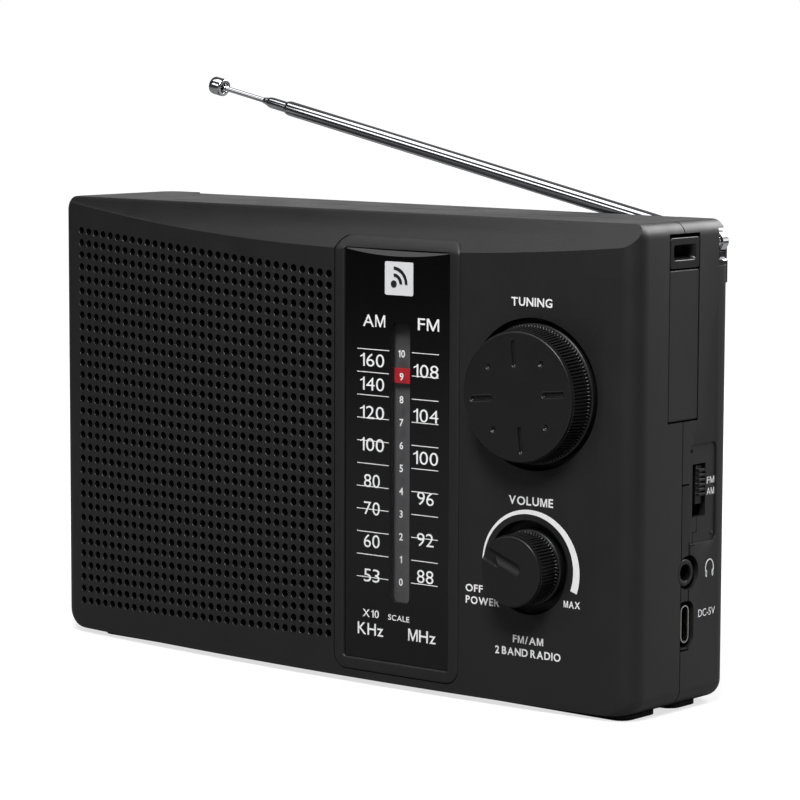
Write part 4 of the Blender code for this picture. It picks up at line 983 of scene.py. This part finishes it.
def letter(sign, weight):
    """One glyph as flat points and triangles. The built-in face's M can't be thickened and its 1 has no
    flag, so each is drawn here as one outline: two stems and a V between them, and a stem with a flag."""
    if sign == "M":
        tall, wide = 0.7, 0.62 + 2 * weight
        stem = 0.075 + 2 * weight
        middle, tip = wide / 2, stem * 0.45
        outline = [(0, 0), (stem, 0), (stem, tall * 0.76), (middle - tip, 0), (middle + tip, 0),
                   (wide - stem, tall * 0.76), (wide - stem, 0), (wide, 0), (wide, tall),
                   (wide - stem * 1.35, tall), (middle, tall * 0.24), (stem * 1.35, tall), (0, tall)]
        faces = tessellate_polygon([[Vector((x, y, 0)) for x, y in outline]])
        return np.array(outline, float), np.array([list(face) for face in faces])
    if sign == "1":
        near, far = 0.22 - weight, 0.31 + weight
        outline = [(near, 0), (far, 0), (far, 0.7), (far - 0.07, 0.7), (near - 0.02, 0.62), (0.07, 0.55),
                   (0.07, 0.47 - weight), (near, 0.54 - weight)]
        faces = tessellate_polygon([[Vector((x, y, 0)) for x, y in outline]])
        return np.array(outline, float), np.array([list(face) for face in faces])
    curve = bpy.data.curves.new(sign, "FONT")
    curve.body = sign
    curve.offset = weight
    curve.resolution_u = 4
    holder = bpy.data.objects.new(sign, curve)
    bpy.context.scene.collection.objects.link(holder)
    bpy.context.view_layer.update()
    mesh = bpy.data.meshes.new_from_object(holder.evaluated_get(bpy.context.evaluated_depsgraph_get()))
    bpy.data.objects.remove(holder, do_unlink=True)
    bpy.data.curves.remove(curve)
    points = np.empty(len(mesh.vertices) * 3)
    mesh.vertices.foreach_get("co", points)
    mesh.calc_loop_triangles()
    faces = np.empty(len(mesh.loop_triangles) * 3, dtype=np.int32)
    mesh.loop_triangles.foreach_get("vertices", faces)
    bpy.data.meshes.remove(mesh)
    points = points.reshape(-1, 3)[:, :2]
    if sign in "DENFKLPRBHUI1":
        points[:, 1] -= points[:, 1].min()
    points[:, 0] -= points[:, 0].min()
    return points, faces.reshape(-1, 3)


GLYPHS = {}


def word(text, x, z, height, width=None, weight=0.012):
    """Letters set side by side as a flat mesh, centred at x and z, scaled to a height and, if given, to a
    width."""
    points, faces, cursor, start = [], [], 0.0, 0
    for sign in text:
        if sign == " ":
            cursor += 0.2
            continue
        if (sign, weight) not in GLYPHS:
            GLYPHS[sign, weight] = letter(sign, weight)
        shape, triangles = GLYPHS[sign, weight]
        points.append(shape + [cursor, 0.0])
        faces.append(triangles + start)
        cursor += shape[:, 0].max() + 0.085 + 1.5 * weight
        start += len(shape)
    points, faces = np.concatenate(points), np.concatenate(faces)
    low, high = points.min(axis=0), points.max(axis=0)
    tall = height / (high[1] - low[1])
    wide = width / (high[0] - low[0]) if width else tall
    flat = (points - (low + high) / 2) * [wide, tall] + [x, z]
    return flat, faces


def lens_surface(flat, lift):
    return np.stack([flat[:, 0], front_y(flat[:, 0]) + LENS_SINK - lift, flat[:, 1]], axis=1)


def front_surface(flat, lift):
    return np.stack([flat[:, 0], front_y(flat[:, 0]) - lift, flat[:, 1]], axis=1)


def side_surface(flat, lift):
    return np.stack([np.full(len(flat), HALF - 0.03 + lift), flat[:, 0], flat[:, 1]], axis=1)


def printed(name, parts, surface, lift, material):
    """Print as a thin closed layer: each flat part is laid on the surface twice, at its lift and just
    inside it, and the open edges of the two are joined by walls."""
    points, faces = [], []
    start = 0
    for flat, polygons in parts:
        points.append(flat)
        faces += [[int(corner) + start for corner in polygon] for polygon in polygons]
        start += len(flat)
    flat = np.concatenate(points)
    mesh = bpy.data.meshes.new(name)
    mesh.from_pydata(placed(surface(flat, lift)).tolist(), [], faces)
    bm = bmesh.new()
    bm.from_mesh(mesh)
    bmesh.ops.remove_doubles(bm, verts=bm.verts, dist=0.001 * MM)
    bmesh.ops.dissolve_degenerate(bm, edges=bm.edges, dist=0.001 * MM)
    bmesh.ops.recalc_face_normals(bm, faces=bm.faces)
    bm.to_mesh(mesh)
    bm.free()
    made = bpy.data.objects.new(name, mesh)
    bpy.context.scene.collection.objects.link(made)
    thick = made.modifiers.new("ink", "SOLIDIFY")
    thick.thickness = (lift + 0.03) * MM
    thick.offset = 0.0
    piece(made, material, "cabinet", (), 30)
    made.data.shade_flat()
    return made


def dial_print():
    """Scale lines and numbers of the two bands, the logging scale and the band names, all on the lens."""
    parts = []
    thin = 0.09
    for index in range(11):
        z = MARK_LOW + MARK_STEP * index
        parts += [bar(12.73, 22.49, z - thin, z + thin), bar(29.39, 37.32, z - thin, z + thin)]
        parts.append(word(str(index), 26.3, MARK_LOW - 0.15 + (80.4 - 26.0) / 10 * index, 1.75))
    digit = 2.45
    for text, z in (("160", 78.3), ("140", 72.6), ("120", 65.8), ("100", 58.1), ("80", 49.4), ("70", 42.8),
                    ("60", 34.9), ("53", 26.6)):
        parts.append(word(text, 17.35, z, 3.15, digit * len(text), -0.003))
    for text, z in (("108", 76.7), ("104", 66.2), ("100", 56.2), ("96", 46.6), ("92", 36.8), ("88", 28.0)):
        parts.append(word(text, 33.6, z, 3.15, digit * len(text), -0.003))
    parts += [word("AM", 17.9, 87.7, 2.9, 6.8, 0.003), word("FM", 34.25, 87.7, 2.9, 6.3, 0.003),
              word("X10", 17.1, 17.4, 1.9, 5.0, 0.008), word("KHz", 17.0, 13.6, 2.9, 7.9, 0.006),
              word("MHz", 32.7, 13.7, 2.9, 8.2, 0.006), word("SCALE", 25.7, 17.2, 1.35, 6.4, 0.008)]
    return printed("dial_print", parts, lens_surface, 0.02, WHITE_INK)


def front_print():
    """Knob names, the volume arc and the band names on the front."""
    bold = 0.02
    parts = [word("TUNING", 63.9, 94.6, 2.1, 11.2, bold), word("VOLUME", 64.1, 48.8, 2.1, 12.2, bold),
             word("OFF", 48.3, 27.0, 1.8, 4.9, bold), word("POWER", 50.7, 24.2, 1.85, 9.6, bold),
             word("MAX", 75.5, 26.0, 1.6, 4.4, bold), word("FM/AM", 63.6, 16.4, 1.85, 8.4, bold),
             word("2 BAND RADIO", 63.5, 13.35, 1.9, 18.2, bold),
             arc_band(VOLUME, 12.4, (12.75, 14.25), 180, -20, 72)]
    return printed("front_print", parts, front_surface, 0.02, WHITE_INK)


def oval_band(centre, inner, outer, start, stop, count=36):
    """Band between two ellipses given as (half width, half height)."""
    angle = np.radians(np.linspace(start, stop, count + 1))
    ring = [np.stack([centre[0] + half[0] * np.cos(angle), centre[1] + half[1] * np.sin(angle)], axis=1)
            for half in (inner, outer)]
    return np.concatenate(ring), grid_faces(2, count + 1)


def side_print():
    """Band names by the switch, the headphone sign and the socket's name on the right side."""
    y, z = 29.3, 32.6
    parts = [word("DC-5V", 28.4, 22.4, 1.75, 6.6, 0.0),
             oval_band((y, z), (1.45, 1.9), (1.7, 2.15), -50, 230),
             oval_band((y - 1.25, z - 1.2), (0.0, 0.0), (0.32, 0.85), 0, 360, 20),
             oval_band((y + 1.25, z - 1.2), (0.0, 0.0), (0.32, 0.85), 0, 360, 20)]
    printed("side_print", parts, side_surface, 0.03, WHITE_INK)
    bands = [word("FM", 29.8, 53.1, 1.6, 2.9, 0.0), word("AM", 29.8, 50.5, 1.6, 2.9, 0.0)]
    return printed("switch_print", bands, lambda flat, lift: side_surface(flat, lift - DISH_DEPTH),
                   0.03, WHITE_INK)


# ---------------------------------------------------------------- knobs

KNOB_FOOT = -2.6                               # how far both knobs reach into their wells


def smooth(value, low, high):
    """0 below low, 1 above high, and a smooth cubic between."""
    share = np.clip((np.asarray(value, float) - low) / (high - low), 0.0, 1.0)
    return share * share * (3 - 2 * share)


def knob_mesh(name, spot, radius, height, angle):
    """Closed knob from polar arrays radius and height (rows x angles), its axis square to the bowed front.
    The first row closes on the middle of the face and the last on the middle of the underside."""
    way = outward(spot)
    right = np.array([-way[1], way[0], 0.0])
    base = on_front(spot)
    rows, count = radius.shape
    points = (base + (radius * np.cos(angle))[..., None] * right
              + (radius * np.sin(angle))[..., None] * [0.0, 0.0, 1.0]
              + height[..., None] * way).reshape(-1, 3)
    middle = np.array([base + way * height[0].mean(), base + way * height[-1].mean()])
    turn = np.arange(count)
    first = np.stack([np.full(count, rows * count), turn, (turn + 1) % count], axis=1)
    last = np.stack([np.full(count, rows * count + 1), (rows - 1) * count + (turn + 1) % count,
                     (rows - 1) * count + turn], axis=1)
    return solid(name, np.concatenate([points, middle]), [grid_faces(rows, count, False, True), first, last])


def ribbed(angle, count, duty=0.5):
    """1 on the crest of a rib and 0 in the groove, with rounded shoulders."""
    wave = 0.5 + 0.5 * np.cos(angle * count)
    return smooth(wave, 0.5 - duty / 2, 0.5 + duty / 2)


def knob_side(face, base, proud, ribs, angle):
    """Side of a knob as rows of radius and height: rim, undercut, tapering ribs, a row of teeth and a
    smooth foot."""
    rib = ribbed(angle, ribs)
    tooth = ribbed(angle, ribs, 0.9)
    plain = np.ones_like(angle)
    radius, height = [], []
    for r, h in ((face - 0.35, proud), (face - 0.12, proud - 0.05), (face, proud - 0.2), (face, proud - 0.45),
                 (face - 0.25, proud - 0.62), (face - 0.25, proud - 0.8)):
        radius.append(plain * r)
        height.append(plain * h)
    top, low = proud - 0.8, 1.0
    wide = base - 0.5
    for share in np.linspace(0, 1, 9):
        level = top + (low - top) * share
        crest = face + 0.3 + (wide - face - 0.3) * share
        depth = 0.5 * smooth(share, 0.0, 0.08) * (1 - 0.35 * smooth(share, 0.85, 1.0))
        radius.append(crest - (1 - rib) * depth)
        height.append(plain * level)
    radius.append(plain * (wide - 0.45))
    height.append(plain * (low - 0.12))
    for share in np.linspace(0, 1, 6):
        swell = math.sin(math.pi * (0.12 + 0.76 * share))
        radius.append(wide - 0.45 + 0.85 * swell * tooth)
        height.append(plain * (low - 0.2 - 0.95 * share))
    for r, h in ((wide - 0.35, low - 1.25), (base - 0.15, low - 1.35), (base, low - 1.5),
                 (base, KNOB_FOOT + 0.15),
                 (base - 0.15, KNOB_FOOT), (base * 0.5, KNOB_FOOT)):
        radius.append(plain * r)
        height.append(plain * h)
    return np.array(radius), np.array(height)


def ribs_darkened(made, spot, proud):
    """The ribbed side of a knob, between the face's rim and the teeth, takes a duller gloss and a darker
    black; the darker colour is painted shade on the knob's side.
    """
    middle, _ = face_arrays(made)
    height = (middle - on_front(spot)) @ outward(spot)
    return second_finish(made, ABS_RIB_SHADE, (height < proud - 0.75) & (height > 0.95))


def tuning_knob():
    """Tuning knob: a flat face with four soft-lipped grooves and four dimples over a finely ribbed skirt."""
    face, base, proud, samples = 14.9, 16.3, 6.4, 720
    angle = np.linspace(0, TAU, samples, endpoint=False)
    r = np.concatenate([np.linspace(0.4, 6.0, 10), np.linspace(6.15, 13.3, 44),
                        np.linspace(13.5, face - 0.5, 4)])
    radius = np.repeat(r[:, None], samples, axis=1)
    height = np.full_like(radius, proud)
    pitch = math.radians(6)
    for quarter in range(4):
        turn = angle - pitch - quarter * TAU / 4
        along, across = radius * np.cos(turn), radius * np.sin(turn)
        gap = np.hypot(np.maximum(np.abs(along - 9.9) - 2.5, 0.0), across) - 0.62
        gap = np.where(along < 0, 9.0, gap)
        height += 0.07 * np.exp(-((gap - 0.16) / 0.12) ** 2) - 0.6 * (1 - smooth(gap, -0.3, 0.05))
        turn = angle - pitch - (quarter + 0.5) * TAU / 4
        gap = np.hypot(radius * np.cos(turn) - 10.2, radius * np.sin(turn)) - 0.7
        height += 0.07 * np.exp(-((gap - 0.14) / 0.13) ** 2) - 0.5 * (1 - smooth(gap, -0.4, 0.05))
    side_radius, side_height = knob_side(face, base, proud, 120, angle)
    made = knob_mesh("tuning_knob_skin", TUNING, np.concatenate([radius, side_radius]),
                     np.concatenate([height, side_height]), angle)
    piece(made, ABS_KNOB, "tuning", ["tuning_knob"], 50)
    return ribs_darkened(made, TUNING, proud)


def scoop_depth(out, across):
    """Depth of the thumb scoop: a round-ended channel to the rim, full depth under its upper edge and at
    the rim, and fading out towards its lower inner edge."""
    gap = np.hypot(np.minimum(out + 0.7, 0.0), across - 0.9) - 1.62
    full = np.maximum(smooth(across, -0.6, 1.6), smooth(out, 3.0, 6.0))
    return 0.8 * (1 - smooth(gap, -0.12, 0.04)) * full


def volume_knob():
    """Volume knob: a ribbed skirt under a face with a thumb scoop that is crisp above and fades out below."""
    face, base, proud, samples = 8.1, 8.8, 7.27, 480
    angle = np.linspace(0, TAU, samples, endpoint=False)
    r = np.linspace(0.2, face - 0.42, 70)
    radius = np.repeat(r[:, None], samples, axis=1)
    height = np.full_like(radius, proud)
    turn = angle - math.radians(158)
    out, across = radius * np.cos(turn), -radius * np.sin(turn)
    height -= scoop_depth(out, across)
    side_radius, side_height = knob_side(face, base, proud, 66, angle)
    fade = np.linspace(1, 0.5, 6)[:, None]
    side_height[:6] -= scoop_depth(face * np.cos(turn), -face * np.sin(turn)) * fade
    made = knob_mesh("volume_knob_skin", VOLUME, np.concatenate([radius, side_radius]),
                     np.concatenate([height, side_height]), angle)
    piece(made, ABS_KNOB, "volume", ["volume_knob"], 50)
    return ribs_darkened(made, VOLUME, proud)


# ---------------------------------------------------------------- right side


def bevelled(made, width, segments=3):
    """Live bevel on every edge over 30 degrees."""
    round_off = made.modifiers.new("rounded_edges", "BEVEL")
    round_off.width = width * MM
    round_off.segments = segments
    round_off.limit_method = "ANGLE"
    round_off.angle_limit = math.radians(30)
    round_off.harden_normals = False
    return made


def strap_lug():
    """Strap anchor: a block with a splayed window for the cord."""
    body = extruded("strap_anchor", rounded(12.4, 23.6, 102.7, 109.7, 0.7, 5), "X", 86.0, HALF)
    rings = []
    for x, grow in ((88.0, 0.0), (90.6, 0.0), (HALF + 0.4, 0.9)):
        outline = rounded(14.4 - grow, 21.5 + grow, 105.1 - grow * 0.8, 107.6 + grow * 0.8, 0.4 + grow * 0.4,
                          5)
        rings.append(np.column_stack([np.full(len(outline), x), outline]))
    carved(body, [(CUT, loft("window", rings))])
    return piece(bevelled(body, 0.15, 2), ABS_SMOOTH, "cabinet", ["strap_lug"])


def side_panel():
    body = extruded("side_insert", rounded(12.35, 23.75, 67.85, 102.3, 0.5, 4), "X", 89.6, HALF - 0.12)
    return piece(bevelled(body, 0.25), ABS_CASE, "cabinet", ["side_panel"])


def port_strip():
    """Narrow strip between the shells that carries the sockets, notched round each of them."""
    body = extruded("socket_strip", rounded(18.25, 20.95, 14.7, 52.7, 0.3, 3), "X", 87.6, HALF - 0.05)
    flange = block("flange", 87.4, 89.4, 18.5, 25.6, 15.0, 52.4)
    power = extruded("power_notch", power_outline(), "X", HALF - 4.5, HALF + 3)
    jack = drum("jack_notch", (HALF - 5, JACK[0] + 0.3, JACK[1]), (1, 0, 0), [(3.9, 0), (3.9, 9)], 64)
    carved(body, [(JOIN, flange), (CUT, power), (CUT, jack)])
    return piece(body, ABS_SMOOTH, "cabinet", ["port_strip"])


def band_slider():
    """Slide switch knob: a stepped tongue with six finger ridges."""
    outline = [(24.75, 47.8), (27.4, 47.8), (27.4, 56.7), (24.75, 56.7)]
    body = extruded("switch_slider", outline, "X", 86.0, HALF - 1.1)
    steps = []
    for index in range(6):
        z = 50.1 + 1.12 * index
        steps.append((JOIN, extruded("ridge",
                                     [(24.9, z - 0.3), (27.25, z - 0.3), (27.25, z + 0.3), (24.9, z + 0.3)],
                                     "X", HALF - 1.7, HALF - 0.12)))
    carved(body, steps)
    return piece(bevelled(body, 0.12, 2), ABS_KNOB, "band_slider", ["band_switch_slider"])


def headphone_jack():
    """Headphone socket: a thick rounded collar round a stepped bore."""
    base = np.array([80.0, JACK[0], JACK[1]])
    profile = [(1.8, 11.2), (1.8, 8.0), (1.3, 7.8), (1.3, 1.0), (3.0, 1.0), (3.0, 10.6), (3.2, 10.7),
               (3.2, 11.3), (3.05, 11.52),
               (2.75, 11.6), (2.3, 11.6), (2.0, 11.5)]
    made = revolved("jack_collar", profile, base, (1, 0, 0), 96)
    piece(made, ABS_SMOOTH, "cabinet", ["headphone_jack"], 50)
    # the bore's walls take near-black as painted shade inside the socket
    centre, _ = face_arrays(made)
    off_axis = np.hypot(centre[:, 1] - JACK[0], centre[:, 2] - JACK[1])
    second_finish(made, HOLE_SHADE, (off_axis < 1.9) & (centre[:, 0] < HALF - 0.55))
    contact = revolved("jack_contact", [(1.29, 1.2), (1.29, 6.6), (1.12, 6.8), (1.12, 1.2)], base, (1, 0, 0),
                       48)
    return piece(contact, NICKEL, "cabinet", ["headphone_jack"], 50)


def usb_socket():
    """USB-C power inlet: a drawn steel shell with a central tongue."""
    wide, tall = USB_SIZE
    low, high = USB[1] - tall / 2, USB[1] + tall / 2
    left, right = USB[0] - wide / 2, USB[0] + wide / 2
    outer = rounded(left, right, low, high, wide / 2 - 0.02, 14)
    inner = rounded(left + 0.32, right - 0.32, low + 0.32, high - 0.32, wide / 2 - 0.34, 14)
    rings = []
    for outline, x in ((outer, 84.2), (outer, 91.45), (outer * 0.985 + np.array(USB) * 0.015, 91.6),
                       (inner * 0.985 + np.array(USB) * 0.015, 91.6), (inner, 91.4), (inner, 85.0)):
        rings.append(np.column_stack([np.full(len(outline), x), outline]))
    shell = loft("power_shell", rings)
    piece(shell, NICKEL, "cabinet", ["usb_socket"], 40)
    tongue = extruded("power_tongue", rounded(USB[0] - 0.35, USB[0] + 0.35, low + 1.35, high - 1.35, 0.2, 3),
                      "X", 84.8, 90.4)
    return piece(bevelled(tongue, 0.06, 2), DARK, "cabinet", ["usb_socket"])


# ---------------------------------------------------------------- back and antenna


def battery_door():
    """Battery cover with finger ridges and an arrow at its latch end."""
    left, right, low, high = BAY
    edge = 0.9
    body = extruded("battery_cover", rounded(left - edge, right + edge, low - edge, high + edge, 1.5, 8), "Y",
                    SIDE_DEPTH - 1.4, SIDE_DEPTH - 0.02)
    steps = []
    for index in range(8):
        x = left + 3.2 + 1.7 * index
        steps.append((CUT, extruded("grip", rounded(x, x + 0.8, low + 7, high - 7, 0.39, 6), "Y",
                                    SIDE_DEPTH - 0.6, SIDE_DEPTH + 1)))
    arrow = [(left + 20.0, (low + high) / 2 + 2.6), (left + 17.2, (low + high) / 2),
             (left + 20.0, (low + high) / 2 - 2.6)]
    steps.append((CUT, extruded("arrow", arrow, "Y", SIDE_DEPTH - 0.4, SIDE_DEPTH + 1)))
    carved(body, steps)
    return piece(bevelled(body, 0.15, 2), ABS_CASE, "door", ["battery_door"])


def tube(name, outer, inner, start, stop, lead):
    """Telescopic tube with a rolled-in end: its outer radius necks down over the last millimetre."""
    profile = [(inner, start), (outer, start), (outer, start + lead), (outer, stop - 0.9),
               (outer - 0.03, stop - 0.75),
               (outer - 0.13, stop - 0.55), (outer - 0.13, stop - 0.15), (outer - 0.2, stop), (inner, stop)]
    return revolved(name, profile, PIVOT, ALONG, 64)


def antenna():
    """Four-stage telescopic antenna with a pivot tongue and a domed tip, lying in its shelf."""
    outer = tube("antenna_outer_skin", 1.9, 1.62, 4.2, OUTER_END, 3.0)
    tongue = extruded("tongue", arc_points(PIVOT[0], PIVOT[2], 2.5, 0, 360, 48)[:-1], "Y", PIVOT[1] - 1.05,
                      PIVOT[1] + 1.05)
    plug = revolved("plug", [(0.0, 1.2), (1.0, 1.2), (1.75, 3.4), (1.75, 6.5), (0.0, 6.5)], PIVOT, ALONG, 48)
    bore = drum("pin_bore", (PIVOT[0], PIVOT[1] - 3, PIVOT[2]), (0, 1, 0), [(0.95, 0), (0.95, 6)], 32)
    carved(outer, [(JOIN, plug), (JOIN, tongue), (CUT, bore)])
    piece(outer, CHROME, "antenna_arm", ["antenna_outer_tube"], 40)
    piece(tube("antenna_second_skin", 1.42, 1.18, 12.0, SECOND_END, 2.0), CHROME, "antenna_second",
          ["antenna_second_tube"], 40)
    piece(tube("antenna_third_skin", 0.98, 0.84, 14.0, THIRD_END, 2.0), CHROME, "antenna_third",
          ["antenna_third_tube"], 40)
    whip = revolved("antenna_rod_skin", [(0.0, 30.0), (0.6, 30.0), (0.66, 30.1), (0.66, 160.9), (0.0, 160.9)],
                    PIVOT, ALONG, 48)
    piece(whip, CHROME, "antenna_whip", ["antenna_rod"], 40)
    cap = [(0.0, 1.5), (1.1, 1.5), (1.3, 0.25), (1.5, 0.0), (2.05, 0.0), (2.25, 0.15), (2.3, 0.45),
           (2.3, 3.2),
           (2.2, 3.6), (1.95, 3.85), (1.5, 3.97), (0.0, 4.0)]
    tip = revolved("antenna_tip_skin", [(r, CAP_START + h) for r, h in cap], PIVOT, ALONG, 64)
    return piece(tip, CHROME, "antenna_whip", ["antenna_tip"], 50)


def antenna_fork():
    """Swivel post with a collar and two rounded ears; the pin is a flanged rivet through them."""
    x, y, z = PIVOT
    post = drum("antenna_fork", (x, y, 98.3), (0, 0, 1), [(2.5, 0), (2.5, 5.2), (2.3, 5.4)], 64)
    ears = []
    for side in (-1, 1):
        start = y + 1.15 if side > 0 else y - 1.95
        ears.append((JOIN, drum("ear", (x, start, z), (0, 1, 0),
                                [(1.95, 0), (2.1, 0.15), (2.1, 0.65), (1.95, 0.8)], 64)))
        ears.append((JOIN, block("cheek", x - 1.5, x + 1.5, start + 0.02, start + 0.78, 103.0, z)))
    bore = drum("bore", (x, y - 4, z), (0, 1, 0), [(0.95, 0), (0.95, 8)], 32)
    carved(post, [*ears, (CUT, bore)])
    piece(bevelled(post, 0.12, 2), CHROME, "antenna_post", ["antenna_swivel"], 40)
    head = [(0.0, -2.05), (0.5, -2.1), (0.7, -2.3), (1.1, -2.3), (1.3, -2.15), (1.3, -1.97), (0.88, -1.97),
            (0.88, 1.97), (1.3, 1.97), (1.3, 2.15), (1.1, 2.3), (0.7, 2.3), (0.5, 2.1), (0.0, 2.05)]
    rivet = revolved("antenna_rivet", head, PIVOT, (0, 1, 0), 48)
    return piece(rivet, CHROME, "antenna_post", ["antenna_hinge_pin"], 40)


# ---------------------------------------------------------------- stage

FLOOR_GLOW = 0.7                               # floor to the camera, near the object
FLOOR_DIM = 0.2                                # floor to everything else
ROOM_FRONT = 0.03                              # room to everything else, in front and behind
ROOM_BACK = 1.0
TOP_BOX = 1.9                                  # watts of the four softboxes
BACK_BOX = 3.0
KEY_BOX = 9.8
LEFT_BOX = 0.35
LENS_LENGTH = 148.55
CAMERA_TURN = (40.263, 6.487, -0.21)           # yaw, pitch and roll in degrees
CAMERA_PLACE = (525.316, -593.438, 157.294)


def paper_floor():
    """Seamless white paper, matt with the faintest mottle. The camera sees it fully lit; to the object's
    reflections and to bounced light it is a dim grey, as if it ended a little way in front."""
    material, tree, shader, where = finish_of("seamless_paper_white", Roughness=0.9)
    worn(tree, shader, mixed(tree, noise(tree, where, 60.0, 2.0), "939393", "989898"))
    shader.inputs["Emission Color"].default_value = (1.0, 1.0, 1.0, 1.0)
    away = add(tree, "ShaderNodeVectorMath", {0: where}, operation="LENGTH")
    glow = ranged(tree, away.outputs["Value"], FLOOR_GLOW, 1.0, 100.0, 360.0)
    tree.links.new(glow, shader.inputs["Emission Strength"])
    dim = add(tree, "ShaderNodeBsdfDiffuse", {"Color": (FLOOR_DIM, FLOOR_DIM, FLOOR_DIM, 1.0)})
    seen = add(tree, "ShaderNodeLightPath")
    choice = add(tree, "ShaderNodeMixShader", {0: seen.outputs["Is Camera Ray"], 1: dim.outputs["BSDF"],
                                               2: shader.outputs["BSDF"]})
    tree.links.new(choice.outputs["Shader"], tree.nodes["Material Output"].inputs["Surface"])
    size = 12000.0
    mesh = mesh_of("floor", [(-size, -size, 0), (size, -size, 0), (size, size, 0), (-size, size, 0)],
                   [[[0, 1, 2, 3]]])
    floor = bpy.data.objects.new("floor", mesh)
    mesh.materials.append(material)
    bpy.context.scene.collection.objects.link(floor)


def softbox(name, place, aim, width, height, power):
    """Rectangular area light at a design point, turned to face another."""
    lamp = bpy.data.lights.new(name, "AREA")
    lamp.shape = "RECTANGLE"
    lamp.size = width * MM
    lamp.size_y = height * MM
    lamp.energy = power
    holder = bpy.data.objects.new(name, lamp)
    start, stop = (Vector(point) for point in placed([place, aim]))
    holder.location = start
    holder.rotation_euler = (stop - start).to_track_quat("-Z", "Y").to_euler()
    bpy.context.scene.collection.objects.link(holder)
    return holder


def studio():
    """White room to the camera; for everything else a dark room with a lit horizon behind the object. Area
    lights above, behind, in front and to the left give the edges their highlights."""
    world = bpy.data.worlds.new("studio")
    world.use_nodes = True
    tree = world.node_tree
    tree.nodes.clear()
    way = add(tree, "ShaderNodeTexCoord").outputs["Generated"]
    parts = add(tree, "ShaderNodeSeparateXYZ", {"Vector": way})
    behind = add(tree, "ShaderNodeMapRange", {"Value": parts.outputs["Y"], "From Min": 0.0, "From Max": 0.8,
                                              "To Min": 0.0, "To Max": ROOM_BACK},
                 interpolation_type="SMOOTHSTEP")
    low_band = add(tree, "ShaderNodeMapRange",
                   {"Value": parts.outputs["Z"], "From Min": 0.12, "From Max": 0.4,
                    "To Min": 1.0, "To Max": 0.12},
                   interpolation_type="SMOOTHSTEP")
    glow_back = add(tree, "ShaderNodeMath", {0: behind.outputs["Result"], 1: low_band.outputs["Result"]},
                    operation="MULTIPLY")
    room = add(tree, "ShaderNodeMath", {0: glow_back.outputs[0], 1: ROOM_FRONT}, operation="ADD")
    seen = add(tree, "ShaderNodeLightPath")
    strength = add(tree, "ShaderNodeMix", {0: seen.outputs["Is Camera Ray"], 2: room.outputs[0], 3: 1.0})
    glow = add(tree, "ShaderNodeBackground", {"Color": (1.0, 1.0, 1.0, 1.0), "Strength": strength.outputs[0]})
    add(tree, "ShaderNodeOutputWorld", {"Surface": glow.outputs["Background"]})
    bpy.context.scene.world = world
    softbox("top_softbox", (-60, -160, 700), (0, 10, 90), 900, 340, TOP_BOX)
    softbox("back_softbox", (200, 420, 420), (0, 10, 60), 500, 250, BACK_BOX)
    softbox("key_softbox", (330, -520, 760), (0, 0, 60), 300, 300, KEY_BOX)
    softbox("left_softbox", (-400, -480, 400), (20, 0, 100), 360, 160, LEFT_BOX)


def camera():
    """Long lens, standing to the right of the front and a little above it."""
    lens = bpy.data.cameras.new("camera")
    lens.sensor_width = 36.0
    lens.lens = LENS_LENGTH
    lens.clip_start = 0.05
    lens.clip_end = 60.0
    yaw, pitch, roll = (math.radians(value) for value in CAMERA_TURN)
    ahead = Vector((-math.sin(yaw) * math.cos(pitch), math.cos(yaw) * math.cos(pitch), -math.sin(pitch)))
    level = Vector((math.cos(yaw), math.sin(yaw), 0.0))
    down = ahead.cross(level)
    right = level * math.cos(roll) + down * math.sin(roll)
    low = down * math.cos(roll) - level * math.sin(roll)
    holder = bpy.data.objects.new("camera", lens)
    turned = Matrix((right, -low, -ahead)).transposed().to_4x4()
    holder.matrix_world = Matrix.Translation(Vector(placed([CAMERA_PLACE])[0])) @ turned
    bpy.context.scene.collection.objects.link(holder)
    bpy.context.scene.camera = holder


# ---------------------------------------------------------------- build

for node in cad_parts.values():
    for holder in node.material_slots:
        slot_name = holder.material.name.split(".")[0] if holder.material else "dark_plastic"
        holder.material = SLOT_FINISH.get(slot_name, DARK)

front_shell()
grille_panel()
dial_frame()
dial_lens()
scale_strip()
scale_backing()
pointer()
badge()
dial_print()
front_print()
tuning_knob()
volume_knob()
rear_shell()
seam_lip()
side_print()
strap_lug()
side_panel()
port_strip()
band_slider()
headphone_jack()
usb_socket()
battery_door()
antenna()
antenna_fork()
paper_floor()
studio()
camera()
bpy.context.scene.view_settings.view_transform = "Standard"
